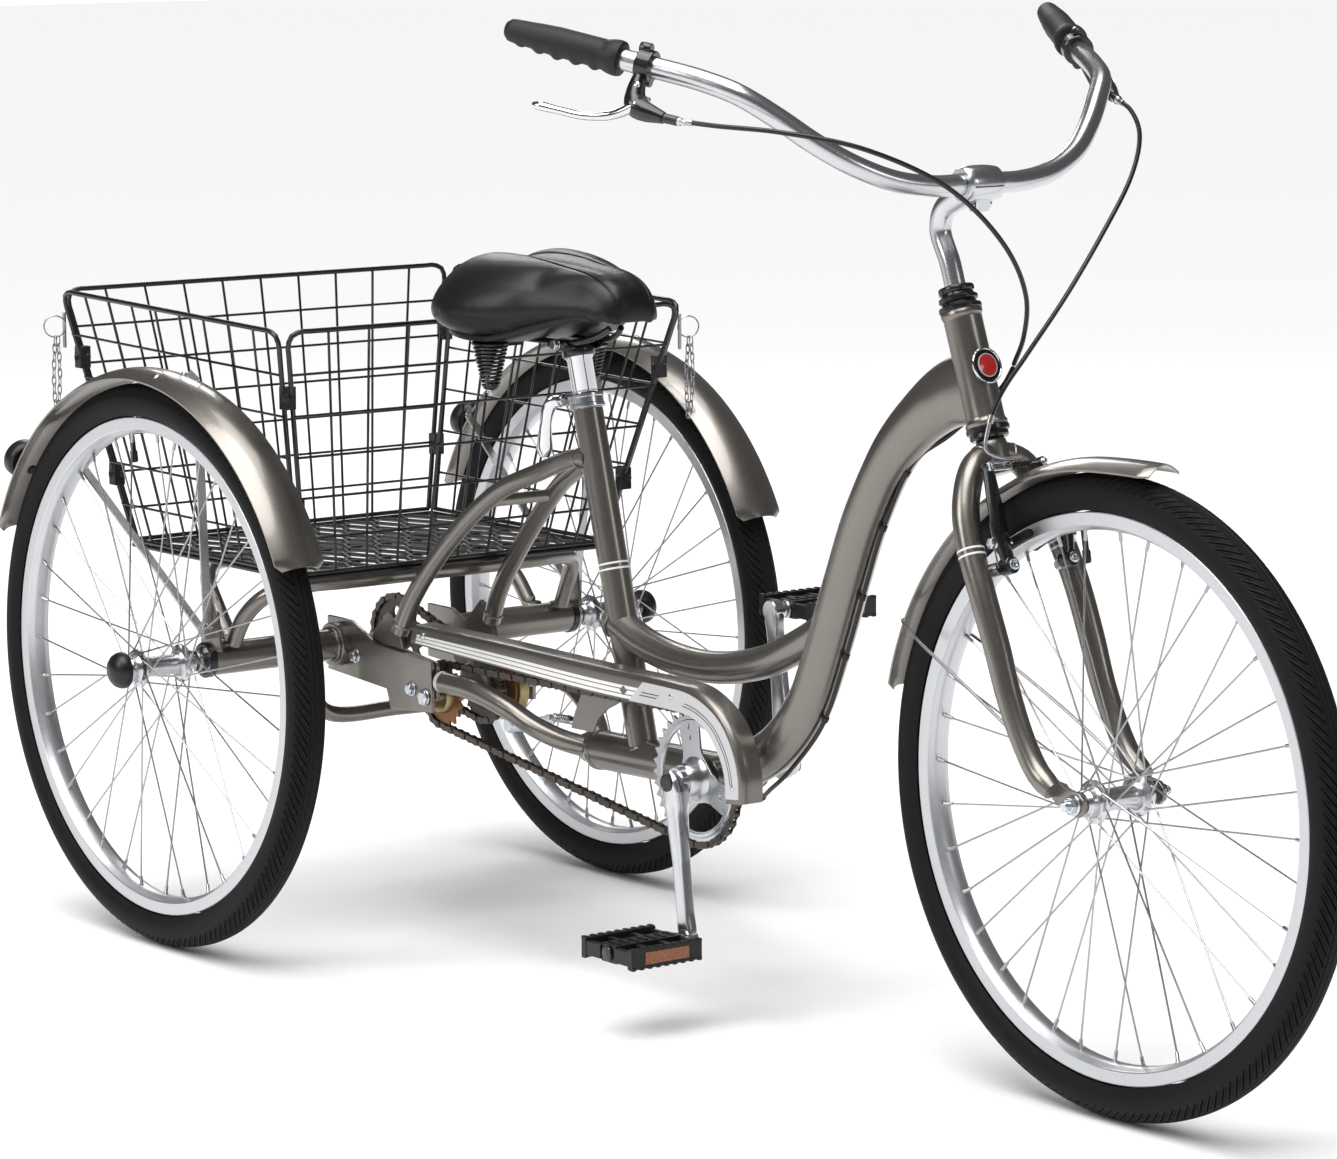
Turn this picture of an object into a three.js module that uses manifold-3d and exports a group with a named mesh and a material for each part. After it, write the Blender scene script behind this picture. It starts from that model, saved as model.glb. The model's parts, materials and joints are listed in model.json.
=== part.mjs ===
// Adult tricycle: two driven-and-free rear wheels, a steered front wheel, a cargo basket,
// a jackshaft chain drive, a V-brake at the front and a band brake at the back.
// Millimetres, +Z up, +X forwards, +Y to the rider's left. It is drawn from the rear axle
// and then moved so that the origin is on the ground, midway between front and back.
import * as THREE from 'three';
import { mergeVertices } from 'three/addons/utils/BufferGeometryUtils.js';
import Module from 'manifold-3d';

const wasm = await Module();
wasm.setup();

// ---------------------------------------------------------------- driving dimensions
const WHEELBASE = 1271;
const TRACK = 642;
const TYRE_R = 325;
const TYRE_W = 44;
const RIM_R = 286;
const RIM_DEPTH = 18;
const RIM_W = 30;
const SPOKES_A_SIDE = 10;
const SPOKE_R = 1;
const HUB_HALF = 46;
const FLANGE_R = 21;
const FLANGE_Y = 29;
const WHEEL_SEGMENTS = 32;
const GAP = 0.3;

const HEAD_ANGLE = THREE.MathUtils.degToRad(70);
const HEAD_TOP = new THREE.Vector3(1032, 0, 791);
const HEAD_LENGTH = 121;
const HEAD_R = 20;
const STEERER_R = 14.2;
const QUILL_R = 11.1;
const BAR_R = 11;
const STEM_CLAMP = new THREE.Vector3(1057, 0, 922);

const SEAT_ANGLE = Math.atan2(328, 89);
const SEAT_TOP = new THREE.Vector3(394, 0, 633);
const SEAT_TUBE_R = 17;
const POST_R = 14.3;

const BB = new THREE.Vector3(652, 0, 258);
const BOOM_R = 22;
const BOOM_REAR_X = 413;
const CRANK_LENGTH = 170;
const CRANK_LEAN = THREE.MathUtils.degToRad(12);
const CHAIN_PITCH = 12.7;
const RING_TEETH = 36;
const JACK_TEETH = 18;
const AXLE_TEETH = 24;
const CRANK_CHAIN_Y = -48;
const AXLE_CHAIN_Y = 8;
const JACK = new THREE.Vector3(175, 0, 285);

const AXLE_R = 8;
const HOUSING_R = 19;
const HOUSING_BORE = 16;
const HOUSING_OUTER_Y = 262;
const PLATE_Y = 69;
const PLATE_T = 5;
const DROPOUT_Y = 63;

const FENDER_R = 343;
const FENDER_W = 64;
const FRONT_FENDER_W = 56;
const SHEET = 1.6;

const BASKET = {
  floor: 428, rim: 728, wall: 5,
  low: { rear: -225, front: 135, half: 215 },
  high: { rear: -274, front: 204, half: 281 },
};
const CARRIER_Z = 417;
const CARRIER_R = 9.5;

// ---------------------------------------------------------------- materials
const paint = { color: 0x7a736b, roughness: 0.34, metalness: 0.75 };
const finishes = {
  paint,
  alloy: { color: 0xc4c6c9, roughness: 0.32, metalness: 0.95 },
  chrome: { color: 0xd9dbde, roughness: 0.12, metalness: 1 },
  steel: { color: 0x9a9c9f, roughness: 0.3, metalness: 0.95 },
  chain: { color: 0x4a4038, roughness: 0.45, metalness: 0.8 },
  tyre: { color: 0x17171a, roughness: 0.85, metalness: 0 },
  rubber: { color: 0x2b2b2e, roughness: 0.75, metalness: 0 },
  plastic: { color: 0x141415, roughness: 0.45, metalness: 0 },
  wire: { color: 0x111112, roughness: 0.4, metalness: 0.2 },
  vinyl: { color: 0x19191b, roughness: 0.55, metalness: 0 },
};

const trike = new THREE.Group();

function add(name, finish, geometry) {
  const mesh = new THREE.Mesh(closed(geometry), new THREE.MeshStandardMaterial(finishes[finish]));
  mesh.name = name;
  trike.add(mesh);
  return mesh;
}

// ---------------------------------------------------------------- geometry helpers
const at = (x, y, z) => new THREE.Vector3(x, y, z);
const mirrored = (points) => points.map((p) => at(p.x, -p.y, p.z));

// One closed body with shared corners and its faces pointing out.
function closed(geometry) {
  const bare = geometry.clone();
  bare.deleteAttribute('normal');
  bare.deleteAttribute('uv');
  const merged = mergeVertices(bare, 1e-3);
  const place = merged.attributes.position;
  const corners = merged.index.array;
  const faces = [];
  const [a, b, c] = [at(0, 0, 0), at(0, 0, 0), at(0, 0, 0)];
  let volume = 0;
  for (let i = 0; i < corners.length; i += 3) {
    const [p, q, r] = corners.slice(i, i + 3);
    if (p === q || q === r || p === r) continue;
    faces.push([p, q, r]);
    a.fromBufferAttribute(place, p);
    b.fromBufferAttribute(place, q);
    c.fromBufferAttribute(place, r);
    volume += a.dot(b.cross(c));
  }
  merged.setIndex(faces.flatMap(([p, q, r]) => (volume < 0 ? [p, r, q] : [p, q, r])));
  return merged;
}

function solid(geometry) {
  const tidy = closed(geometry);
  return new wasm.Manifold(new wasm.Mesh({
    numProp: 3,
    vertProperties: new Float32Array(tidy.attributes.position.array),
    triVerts: new Uint32Array(tidy.index.array),
  }));
}

function shell(manifold) {
  const mesh = manifold.getMesh();
  const geometry = new THREE.BufferGeometry();
  geometry.setAttribute('position', new THREE.BufferAttribute(mesh.vertProperties, 3));
  geometry.setIndex(new THREE.BufferAttribute(mesh.triVerts, 1));
  return geometry;
}

const join = (...pieces) => shell(pieces.map(solid).reduce((whole, piece) => whole.add(piece)));
const cut = (piece, ...tools) => shell(tools.map(solid).reduce((rest, tool) => rest.subtract(tool), solid(piece)));

// A shape made about +Y, turned so that +Y runs from one point towards another.
function aim(geometry, from, to) {
  const way = to.clone().sub(from).normalize();
  return geometry
    .applyQuaternion(new THREE.Quaternion().setFromUnitVectors(at(0, 1, 0), way))
    .translate(from.x, from.y, from.z);
}

function rod(from, to, radius, sides = 12, endRadius = radius) {
  const length = from.distanceTo(to);
  const bar = new THREE.CylinderGeometry(endRadius, radius, length, sides).translate(0, length / 2, 0);
  return aim(bar, from, to);
}

// A closed profile of [radius, height] pairs turned about +Y.
function turned(profile, segments) {
  const points = profile.map(([radius, height]) => new THREE.Vector2(radius, height));
  points.push(points[0].clone());
  return new THREE.LatheGeometry(points, segments);
}

function pipe(from, to, outer, bore, sides = 16) {
  const length = from.distanceTo(to);
  return aim(turned([[bore, 0], [outer, 0], [outer, length], [bore, length]], sides), from, to);
}

function roundShape(radius, sides) {
  const corners = Array.from({ length: sides }, (_, i) => {
    const turn = (i / sides) * Math.PI * 2;
    return new THREE.Vector2(radius * Math.cos(turn), radius * Math.sin(turn));
  });
  return new THREE.Shape(corners);
}

function tube(points, radius, sides = 10, steps = 14) {
  const path = new THREE.CatmullRomCurve3(points, false, 'centripetal');
  return new THREE.ExtrudeGeometry(roundShape(radius, sides), { steps, extrudePath: path, bevelEnabled: false });
}

// A flat plate in the X-Z plane, between two heights in Y.
function plate(outline, low, high) {
  const shape = new THREE.Shape(outline.map(([x, z]) => new THREE.Vector2(x, z)));
  return new THREE.ExtrudeGeometry(shape, { depth: high - low, bevelEnabled: false, curveSegments: 8 })
    .rotateX(Math.PI / 2)
    .translate(0, high, 0);
}

// A solid with four corners below and four above, both in the same order.
function block(low, high) {
  const geometry = new THREE.BufferGeometry().setFromPoints([...low, ...high]);
  geometry.setIndex([
    0, 2, 1, 0, 3, 2, 4, 5, 6, 4, 6, 7,
    0, 1, 5, 0, 5, 4, 1, 2, 6, 1, 6, 5,
    2, 3, 7, 2, 7, 6, 3, 0, 4, 3, 4, 7,
  ]);
  return geometry;
}

const box = (low, high) => new THREE.BoxGeometry(high.x - low.x, high.y - low.y, high.z - low.z)
  .translate((high.x + low.x) / 2, (high.y + low.y) / 2, (high.z + low.z) / 2);

// A point at a radius and a turn (degrees from forwards, rising) about a wheel's centre.
function round(centre, radius, degrees, y = centre.y) {
  const turn = THREE.MathUtils.degToRad(degrees);
  return at(centre.x + radius * Math.cos(turn), y, centre.z + radius * Math.sin(turn));
}

// ---------------------------------------------------------------- steering frame
const up = at(-Math.cos(HEAD_ANGLE), 0, Math.sin(HEAD_ANGLE));
const ahead = at(Math.sin(HEAD_ANGLE), 0, Math.cos(HEAD_ANGLE));
const steer = (rise, forward = 0, y = 0) => HEAD_TOP.clone()
  .addScaledVector(up, rise)
  .addScaledVector(ahead, forward)
  .setY(y);

// ---------------------------------------------------------------- wheels
const frontHub = at(WHEELBASE, 0, TYRE_R);
const rightHub = at(0, -TRACK / 2, TYRE_R);
const leftHub = at(0, TRACK / 2, TYRE_R);

function tyre() {
  const half = TYRE_W / 2;
  const bead = RIM_R + 1;
  return turned([
    [bead, -14], [300, -half], [316, -18], [TYRE_R, -5],
    [TYRE_R, 5], [316, 18], [300, half], [bead, 14],
  ], WHEEL_SEGMENTS);
}

function rim() {
  const half = RIM_W / 2;
  const inner = RIM_R - RIM_DEPTH;
  return turned([
    [inner, -7], [inner + 6, 1 - half], [RIM_R, -half],
    [RIM_R, half], [inner + 6, half - 1], [inner, 7],
  ], WHEEL_SEGMENTS);
}

// The hub shell with its crossed spokes, each reaching just short of the rim.
function laced(bore) {
  const half = [[bore, 0], [12, 0], [12, 22], [FLANGE_R, 26], [FLANGE_R, 32], [13, 34], [12, HUB_HALF], [bore, HUB_HALF]];
  const under = half.slice(1, -1).reverse().map(([radius, height]) => [radius, -height]);
  const profile = [[bore, -HUB_HALF], ...under, ...half.slice(2)];
  const pieces = [turned(profile, 12)];
  const lace = 57;
  const reach = (RIM_R - RIM_DEPTH) * Math.cos(Math.PI / WHEEL_SEGMENTS) - 1;
  for (const side of [-1, 1]) {
    for (let k = 0; k < SPOKES_A_SIDE; k += 1) {
      const rimTurn = (k + (side > 0 ? 0.5 : 0)) * (360 / SPOKES_A_SIDE);
      const leads = k % 2 ? 1 : -1;
      const head = round(at(0, 0, 0), FLANGE_R - 3, rimTurn + leads * lace, side * (FLANGE_Y + leads * 1.7));
      const nipple = round(at(0, 0, 0), reach, rimTurn, side * 2);
      pieces.push(rod(head, nipple, SPOKE_R, 3));
    }
  }
  return join(...pieces);
}

for (const [name, hub, bore] of [['front', frontHub, 5.5], ['right', rightHub, AXLE_R + 0.5], ['left', leftHub, AXLE_R + 0.5]]) {
  add(`${name}_tyre`, 'tyre', tyre().translate(hub.x, hub.y, hub.z));
  add(`${name}_rim`, 'alloy', rim().translate(hub.x, hub.y, hub.z));
  add(`${name}_hub`, 'steel', laced(bore).translate(hub.x, hub.y, hub.z));
}

// ---------------------------------------------------------------- sprockets and chains
const pitchRadius = (teeth) => CHAIN_PITCH / (2 * Math.sin(Math.PI / teeth));

// A toothed disc about +Y at y = 0, with the tooth phase given in degrees.
function sprocket(teeth, width, bore, phase = 0) {
  const root = pitchRadius(teeth) - 4.4;
  const tip = pitchRadius(teeth) + 2.6;
  const outline = [];
  for (let tooth = 0; tooth < teeth; tooth += 1) {
    for (const [share, radius] of [[0, tip], [0.5, root]]) {
      const turn = ((tooth + share) / teeth) * Math.PI * 2 + THREE.MathUtils.degToRad(phase);
      outline.push(new THREE.Vector2(radius * Math.cos(turn), radius * Math.sin(turn)));
    }
  }
  const shape = new THREE.Shape(outline);
  shape.holes.push(new THREE.Path(roundShape(bore, 12).getPoints().reverse()));
  return new THREE.ExtrudeGeometry(shape, { depth: width, bevelEnabled: false })
    .rotateX(Math.PI / 2)
    .translate(0, width / 2, 0);
}

// A closed loop of chain around two sprockets, as the band its outer edges fill.
function chainLoop(rear, rearTeeth, front, frontTeeth, y) {
  const clear = 3.2;
  const thick = 1.2;
  const outline = (extra) => {
    const small = pitchRadius(rearTeeth) + clear + extra;
    const large = pitchRadius(frontTeeth) + clear + extra;
    const span = Math.hypot(front.x - rear.x, front.z - rear.z);
    const slope = Math.atan2(front.z - rear.z, front.x - rear.x);
    const lean = Math.acos((small - large) / span);
    const points = [];
    const arc = (centre, radius, from, to, steps) => {
      for (let i = 0; i <= steps; i += 1) {
        const turn = slope + from + ((to - from) * i) / steps;
        points.push(new THREE.Vector2(centre.x + radius * Math.cos(turn), centre.z + radius * Math.sin(turn)));
      }
    };
    arc(rear, small, lean, Math.PI * 2 - lean, 12);
    arc(front, large, -lean, lean, 14);
    return points;
  };
  const shape = new THREE.Shape(outline(thick));
  shape.holes.push(new THREE.Path(outline(0).reverse()));
  return new THREE.ExtrudeGeometry(shape, { depth: 7, bevelEnabled: false })
    .rotateX(Math.PI / 2)
    .translate(0, y + 3.5, 0);
}

add('crank_chain', 'chain', chainLoop(JACK, JACK_TEETH, BB, RING_TEETH, CRANK_CHAIN_Y));
add('axle_chain', 'chain', chainLoop(at(0, 0, TYRE_R), AXLE_TEETH, JACK, JACK_TEETH, AXLE_CHAIN_Y));

// ---------------------------------------------------------------- main frame
const headFoot = steer(-HEAD_LENGTH);
add('head_tube', 'paint', pipe(headFoot, HEAD_TOP, HEAD_R, STEERER_R + 2));
add('headset_lower', 'plastic', pipe(steer(-HEAD_LENGTH - 13), steer(-HEAD_LENGTH - GAP), HEAD_R + 1.5, STEERER_R + 0.5));

const headSpace = rod(headFoot.clone().addScaledVector(up, -20), steer(20), HEAD_R + GAP, 16);
const boomFront = at(BB.x - 12, 0, BB.z - 2);
const boomRear = at(BOOM_REAR_X, 0, 250);
const shellSpace = rod(at(BB.x, -40, BB.z), at(BB.x, 40, BB.z), 21 + GAP, 20);
const boomSpace = rod(at(BOOM_REAR_X - 60, 0, 249), at(BB.x, 0, BB.z - 2), BOOM_R + GAP, 14);

const downPath = [
  at(1056, 0, 722), at(1011, 0, 707), at(936, 0, 648), at(885, 0, 570), at(853, 0, 500),
  at(822, 0, 425), at(786, 0, 352), at(735, 0, 300), at(664, 0, 263),
];
const downTube = (grow) => tube(downPath, 25 + grow, 12, 16);
add('down_tube', 'paint', cut(downTube(0), headSpace, shellSpace, boomSpace));

const seatDown = at(Math.cos(SEAT_ANGLE), 0, -Math.sin(SEAT_ANGLE));
const seat = (down) => SEAT_TOP.clone().addScaledVector(seatDown, down);
const seatLength = 392;
add('seat_tube', 'paint', cut(pipe(seat(seatLength), seat(0), SEAT_TUBE_R, POST_R + GAP), boomSpace));

const midPath = [at(463, 0, 394), at(500, 0, 381), at(560, 0, 371), at(632, 0, 372), at(715, 0, 390), at(790, 0, 424), at(824, 0, 444)];
const seatSpace = rod(seat(seatLength), seat(-20), SEAT_TUBE_R + GAP, 16);
add('mid_tube', 'paint', cut(tube(midPath, 18, 10, 10), seatSpace, downTube(GAP)));

const shellRing = turned([[17, -34], [21, -34], [21, 34], [17, 34]], 20).translate(BB.x, BB.y, BB.z);
const boom = cut(rod(boomRear, boomFront, BOOM_R, 14), rod(at(BB.x, -40, BB.z), at(BB.x, 40, BB.z), 18, 20));
add('bottom_bracket', 'paint', join(shellRing, boom));

const chainStay = [
  at(400, -8, 251), at(374, -27, 259), at(345, -42, 271), at(309, -53, 288), at(262, -61, 301), at(196, -65.5, 305),
];
const boomEnd = rod(at(BOOM_REAR_X - 0.3, 0, 250), at(BOOM_REAR_X + 60, 0, 250), 40, 12);
const stays = join(tube(chainStay, 12, 8, 9), tube(mirrored(chainStay), 12, 8, 9), new THREE.SphereGeometry(17, 10, 6).translate(398, 0, 250));
add('chain_stays', 'paint', cut(stays, boomEnd));

const seatStay = [at(405, -9, 580), at(384, -14, 578), at(339, -28, 559), at(281, -43, 532), at(201, -56, 467), at(135, -62, 394), at(112, -65, 352)];
const dropout = [[60, 345], [92, 375], [112, 362], [122, 334], [190, 326], [190, 284], [130, 270], [60, 300]];
const bridge = rod(at(262, -46, 519), at(262, 46, 519), 7, 8);
const wishbone = join(
  tube(seatStay, 10.5, 8, 9), tube(mirrored(seatStay), 10.5, 8, 9), bridge,
  plate(dropout, -DROPOUT_Y - PLATE_T, -DROPOUT_Y), plate(dropout, DROPOUT_Y, DROPOUT_Y + PLATE_T),
);
const jackSpace = rod(at(JACK.x, -90, JACK.z), at(JACK.x, 90, JACK.z), 9, 16);
const stayEnds = [-1, 1].map((side) => rod(at(188, side * 65.5, 305.2), at(204, side * 65.5, 304.5), 13, 10));
add('seat_stays', 'paint', cut(wishbone, seatSpace, jackSpace, ...stayEnds));

add('seat_clamp', 'alloy', join(
  pipe(seat(-1), seat(-17), SEAT_TUBE_R + 3, POST_R + GAP, 16),
  cut(box(at(352, -9, 634), at(378, 9, 651)), box(at(340, -2, 620), at(374, 2, 660)), rod(seat(10), seat(-40), POST_R + GAP, 16)),
));

// ---------------------------------------------------------------- rear axle carrier
const carrierPlate = [[-26, 356], [24, 356], [74, 334], [188, 328], [188, 268], [104, 262], [96, 284], [-26, 292]];
const lug = (x, z, side) => rod(at(x, side * (PLATE_Y + PLATE_T - 1), z), at(x, side * (PLATE_Y + 13), z), 8, 6);

for (const [name, side] of [['right', -1], ['left', 1]]) {
  const low = Math.min(side * PLATE_Y, side * (PLATE_Y + PLATE_T));
  const high = low + PLATE_T;
  const arm = plate(carrierPlate, low, high);
  const sleeve = rod(at(0, side * HOUSING_OUTER_Y, TYRE_R), at(0, side * (PLATE_Y + 1), TYRE_R), HOUSING_R, 16);
  const collar = rod(at(0, side * (PLATE_Y + 1), TYRE_R), at(0, side * (PLATE_Y + 18), TYRE_R), HOUSING_R + 7, 16);
  const bore = rod(at(0, side * (HOUSING_OUTER_Y + 5), TYRE_R), at(0, side * (PLATE_Y - 5), TYRE_R), HOUSING_BORE, 16);
  const tab = plate([[-14, 338], [30, 338], [24, 384], [-4, 384]], side > 0 ? 254 : -258, side > 0 ? 258 : -254);
  const housing = join(arm, sleeve, collar, lug(34, 315, side), lug(148, 291, side), tab);
  add(`axle_housing_${name}`, 'paint', cut(housing, bore, jackSpace));
}

const frontHoop = [at(20, -234, 345), at(40, -230, 378), at(66, -216, 404), at(92, -180, 416), at(100, -130, CARRIER_Z), at(100, 0, CARRIER_Z)];
const rearHoop = [at(-20, -214, 345), at(-48, -212, 376), at(-86, -200, 402), at(-122, -168, 415), at(-132, -120, CARRIER_Z), at(-132, 0, CARRIER_Z)];
const whole = (half) => [...half, ...mirrored(half.slice(0, -1)).reverse()];
const housingSpace = rod(at(0, -HOUSING_OUTER_Y, TYRE_R), at(0, HOUSING_OUTER_Y, TYRE_R), HOUSING_R + GAP, 16);
const rail = (y) => rod(at(-132, y, CARRIER_Z), at(100, y, CARRIER_Z), 7, 8);
add('cargo_carrier', 'paint', cut(
  join(tube(whole(frontHoop), CARRIER_R, 8, 18), tube(whole(rearHoop), CARRIER_R, 8, 18), rail(-95), rail(95)),
  housingSpace,
));

const brace = [at(0, -112, 318), at(0, -110, 280), at(0, -104, 254), at(0, -84, 242), at(0, 0, 240)];
add('lower_brace', 'paint', cut(tube(whole(brace), CARRIER_R, 8, 14), housingSpace));

// ---------------------------------------------------------------- basket
const corners = ({ rear, front, half }, z, inset = 0) => [
  at(rear + inset, -half + inset, z), at(front - inset, -half + inset, z),
  at(front - inset, half - inset, z), at(rear + inset, half - inset, z),
];
const basketOuter = block(corners(BASKET.low, BASKET.floor), corners(BASKET.high, BASKET.rim));
const basketInner = block(
  corners(BASKET.low, BASKET.floor + BASKET.wall, BASKET.wall - 0.5),
  corners(BASKET.high, BASKET.rim + 1, BASKET.wall),
);
add('basket', 'wire', cut(basketOuter, basketInner));

// ---------------------------------------------------------------- fenders
// A curved strip over a wheel: a shallow arch section swept round the hub.
function fender(hub, from, to, width, steps) {
  const curve = new THREE.CatmullRomCurve3(
    Array.from({ length: steps + 1 }, (_, i) => round(hub, FENDER_R, from + ((to - from) * i) / steps)),
  );
  const half = width / 2;
  const arch = (x) => -11 * (x / half) ** 2;
  const across = [-1, -0.5, 0.5, 1].map((share) => share * half);
  const top = across.map((x) => new THREE.Vector2(x, arch(x)));
  const under = across.map((x) => new THREE.Vector2(x * 0.97, arch(x) - SHEET)).reverse();
  return new THREE.ExtrudeGeometry(new THREE.Shape([...top, ...under]), { steps, extrudePath: curve, bevelEnabled: false });
}

// A flat strip between two points, standing in the X-Z plane.
function strap(from, to, width = 12, thick = 2.5) {
  const length = from.distanceTo(to);
  const bar = new THREE.BoxGeometry(width, length, thick).translate(0, length / 2, 0);
  const way = to.clone().sub(from).normalize();
  const side = at(0, 1, 0).cross(way).normalize();
  const face = side.clone().cross(way);
  return bar.applyMatrix4(new THREE.Matrix4().makeBasis(side, way, face)).translate(from.x, from.y, from.z);
}

for (const [name, hub, side] of [['right', rightHub, -1], ['left', leftHub, 1]]) {
  const base = round(hub, FENDER_R - 4, 144.5);
  const face = round(hub, FENDER_R + 14, 144.5);
  const lens = rod(face, face.clone().add(at(-14, 0, 4)), 23, 16);
  add(`rear_fender_${name}`, 'paint', join(fender(hub, 26, 158, FENDER_W, 12), rod(base, face, 6, 8), lens));
  const foot = at(10, side * 262, 352);
  const inner = side * (TRACK / 2 - FENDER_W / 2 - 3);
  add(`fender_stay_${name}`, 'steel', join(
    strap(foot, round(hub, FENDER_R - 14, 138, inner)),
    strap(foot, round(hub, FENDER_R - 14, 84, inner)),
    rod(at(10, side * 259, 366), at(10, side * 266, 366), 11, 8),
  ));
}

const stayArc = [-1, 1].flatMap((side) => {
  const points = [at(1247, side * 47.2, 337), round(frontHub, 140, 152, side * 44), round(frontHub, 300, 154, side * 34)];
  return side < 0 ? points : points.reverse();
});
stayArc.splice(3, 0, round(frontHub, FENDER_R - 3, 154.5, -20), round(frontHub, FENDER_R + 1, 155, 0), round(frontHub, FENDER_R - 3, 154.5, 20));
add('front_fender', 'paint', join(fender(frontHub, 79, 168, FRONT_FENDER_W, 9), tube(stayArc, 1.8, 6, 18)));

// ---------------------------------------------------------------- fork, axle and steering parts
const crownRise = -HEAD_LENGTH - 14;
const forkLeg = [
  steer(crownRise - 14, 0, -4), at(1090, -32, 640), at(1101, -52, 605), at(1117, -60, 566), at(1140, -63, 520),
  at(1163, -63, 468), at(1181, -63, 422), at(1202, -63, 382), at(1224, -62.5, 352), at(1246, -62, 336),
];
const forkEnd = [[1238, 347], [1262, 338], [1283, 334], [1283, 314], [1262, 314], [1238, 326]];
const frontAxle = (grow) => [
  rod(at(WHEELBASE, -71, TYRE_R), at(WHEELBASE, 71, TYRE_R), 4.8 + grow, 10),
  rod(at(WHEELBASE, -66 - grow, TYRE_R), at(WHEELBASE, -56.5 + grow, TYRE_R), 9 + grow, 6),
  rod(at(WHEELBASE, 56.5 - grow, TYRE_R), at(WHEELBASE, 66 + grow, TYRE_R), 9 + grow, 6),
  rod(at(WHEELBASE, -50 - grow, TYRE_R), at(WHEELBASE, -47 + grow, TYRE_R), 8 + grow, 8),
  rod(at(WHEELBASE, 47 - grow, TYRE_R), at(WHEELBASE, 50 + grow, TYRE_R), 8 + grow, 8),
];
const armPost = (side) => at(1148, side * 40, 546);
const posts = [-1, 1].map((side) => join(
  rod(armPost(side).addScaledVector(ahead, -24).setY(side * 54), armPost(side).addScaledVector(ahead, -5).setY(side * 44), 7, 8),
  rod(armPost(side).addScaledVector(ahead, -9), armPost(side).addScaledVector(ahead, 14), 4, 8),
));
const fork = join(
  pipe(steer(crownRise - 30), steer(18), STEERER_R, QUILL_R + GAP, 14),
  rod(steer(crownRise - 34), steer(crownRise), STEERER_R + 2.5, 14),
  tube(forkLeg, 12, 8, 13), tube(mirrored(forkLeg), 12, 8, 13),
  plate(forkEnd, -56, -50.5), plate(forkEnd, 50.5, 56), ...posts,
);
add('fork', 'paint', cut(fork, ...frontAxle(GAP + 0.1)));
add('front_axle', 'steel', join(...frontAxle(0)));
add('headset_upper', 'plastic', aim(turned([
  [QUILL_R + GAP, 26], [QUILL_R + GAP, 18.5], [STEERER_R + GAP, 18.5], [STEERER_R + GAP, GAP],
  [21.5, GAP], [21.5, 8], [17, 11], [17, 24], [14, 26],
], 16), HEAD_TOP.clone(), steer(10)));

const neck = [steer(-46), steer(0), steer(26), steer(52), at(999, 0, 872), at(1006, 0, 893), at(1030, 0, 908), at(1050, 0, 918)];
const clampRing = rod(at(STEM_CLAMP.x, -23, STEM_CLAMP.z), at(STEM_CLAMP.x, 23, STEM_CLAMP.z), 17.5, 16);
const barSpace = rod(at(STEM_CLAMP.x, -30, STEM_CLAMP.z), at(STEM_CLAMP.x, 30, STEM_CLAMP.z), BAR_R + 1.3, 14);
const clampEars = box(at(1050, -11, 896), at(1066, 11, 912));
add('stem', 'chrome', cut(join(tube(neck, QUILL_R, 10, 12), clampRing, clampEars), barSpace));

const gripOut = (side) => at(756, side * 359.4, 1075.6);
const gripIn = (side) => at(866, side * 298, 1047.6);
const gripWay = (side) => gripIn(side).sub(gripOut(side)).normalize();
const onGrip = (side, along) => gripOut(side).addScaledVector(gripWay(side), along);
const barHalf = [
  ...[8, 40, 75, 110, 140, 160].map((along) => onGrip(-1, along)), at(940, -260, 1029), at(974, -241, 1016),
  at(998, -213, 994), at(1020, -180, 967), at(1038, -145, 945), at(1050, -100, 928), at(1056, -55, 922), at(STEM_CLAMP.x, -25, STEM_CLAMP.z),
];
const barPath = [...barHalf, ...mirrored(barHalf).reverse()];
add('handlebar', 'chrome', tube(barPath, BAR_R, 10, 34));

// The straight end of each bar half carries the grip and the brake lever's bracket.
const leverPivot = (side) => at(906, side * 312, 1008);

for (const [name, side] of [['right', -1], ['left', 1]]) {
  const barTube = rod(onGrip(side, 3), onGrip(side, 180), BAR_R + 0.7, 14);
  add(`grip_${name}`, 'rubber', cut(
    rod(onGrip(side, -6), gripIn(side), 16, 12, 17.5),
    barTube,
  ));
  const band = rod(onGrip(side, 144), onGrip(side, 160), 17, 12);
  const body = tube([at(886, side * 296, 1032), at(892, side * 306, 1016), at(900, side * 311, 1004), at(930, side * 300, 993)], 8, 6, 5);
  const nose = rod(at(926, side * 301.5, 994), at(946, side * 292, 990), 5, 6);
  const leverSpace = rod(leverPivot(side).setY(side * 304 - 0.1), leverPivot(side).setY(side * 322), 17, 12);
  add(`lever_bracket_${name}`, 'plastic', cut(join(band, body, nose), barTube, leverSpace));
  const blade = [at(900, side * 317, 1003), at(884, side * 330, 995), at(862, side * 347, 994), at(840, side * 362, 999), at(817, side * 376, 1004)];
  add(`brake_lever_${name}`, 'alloy', join(
    tube(blade, 4.5, 6, 8),
    rod(at(906, side * 312.5, 1008), at(900, side * 320, 1002), 6, 8),
  ));
}

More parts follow.
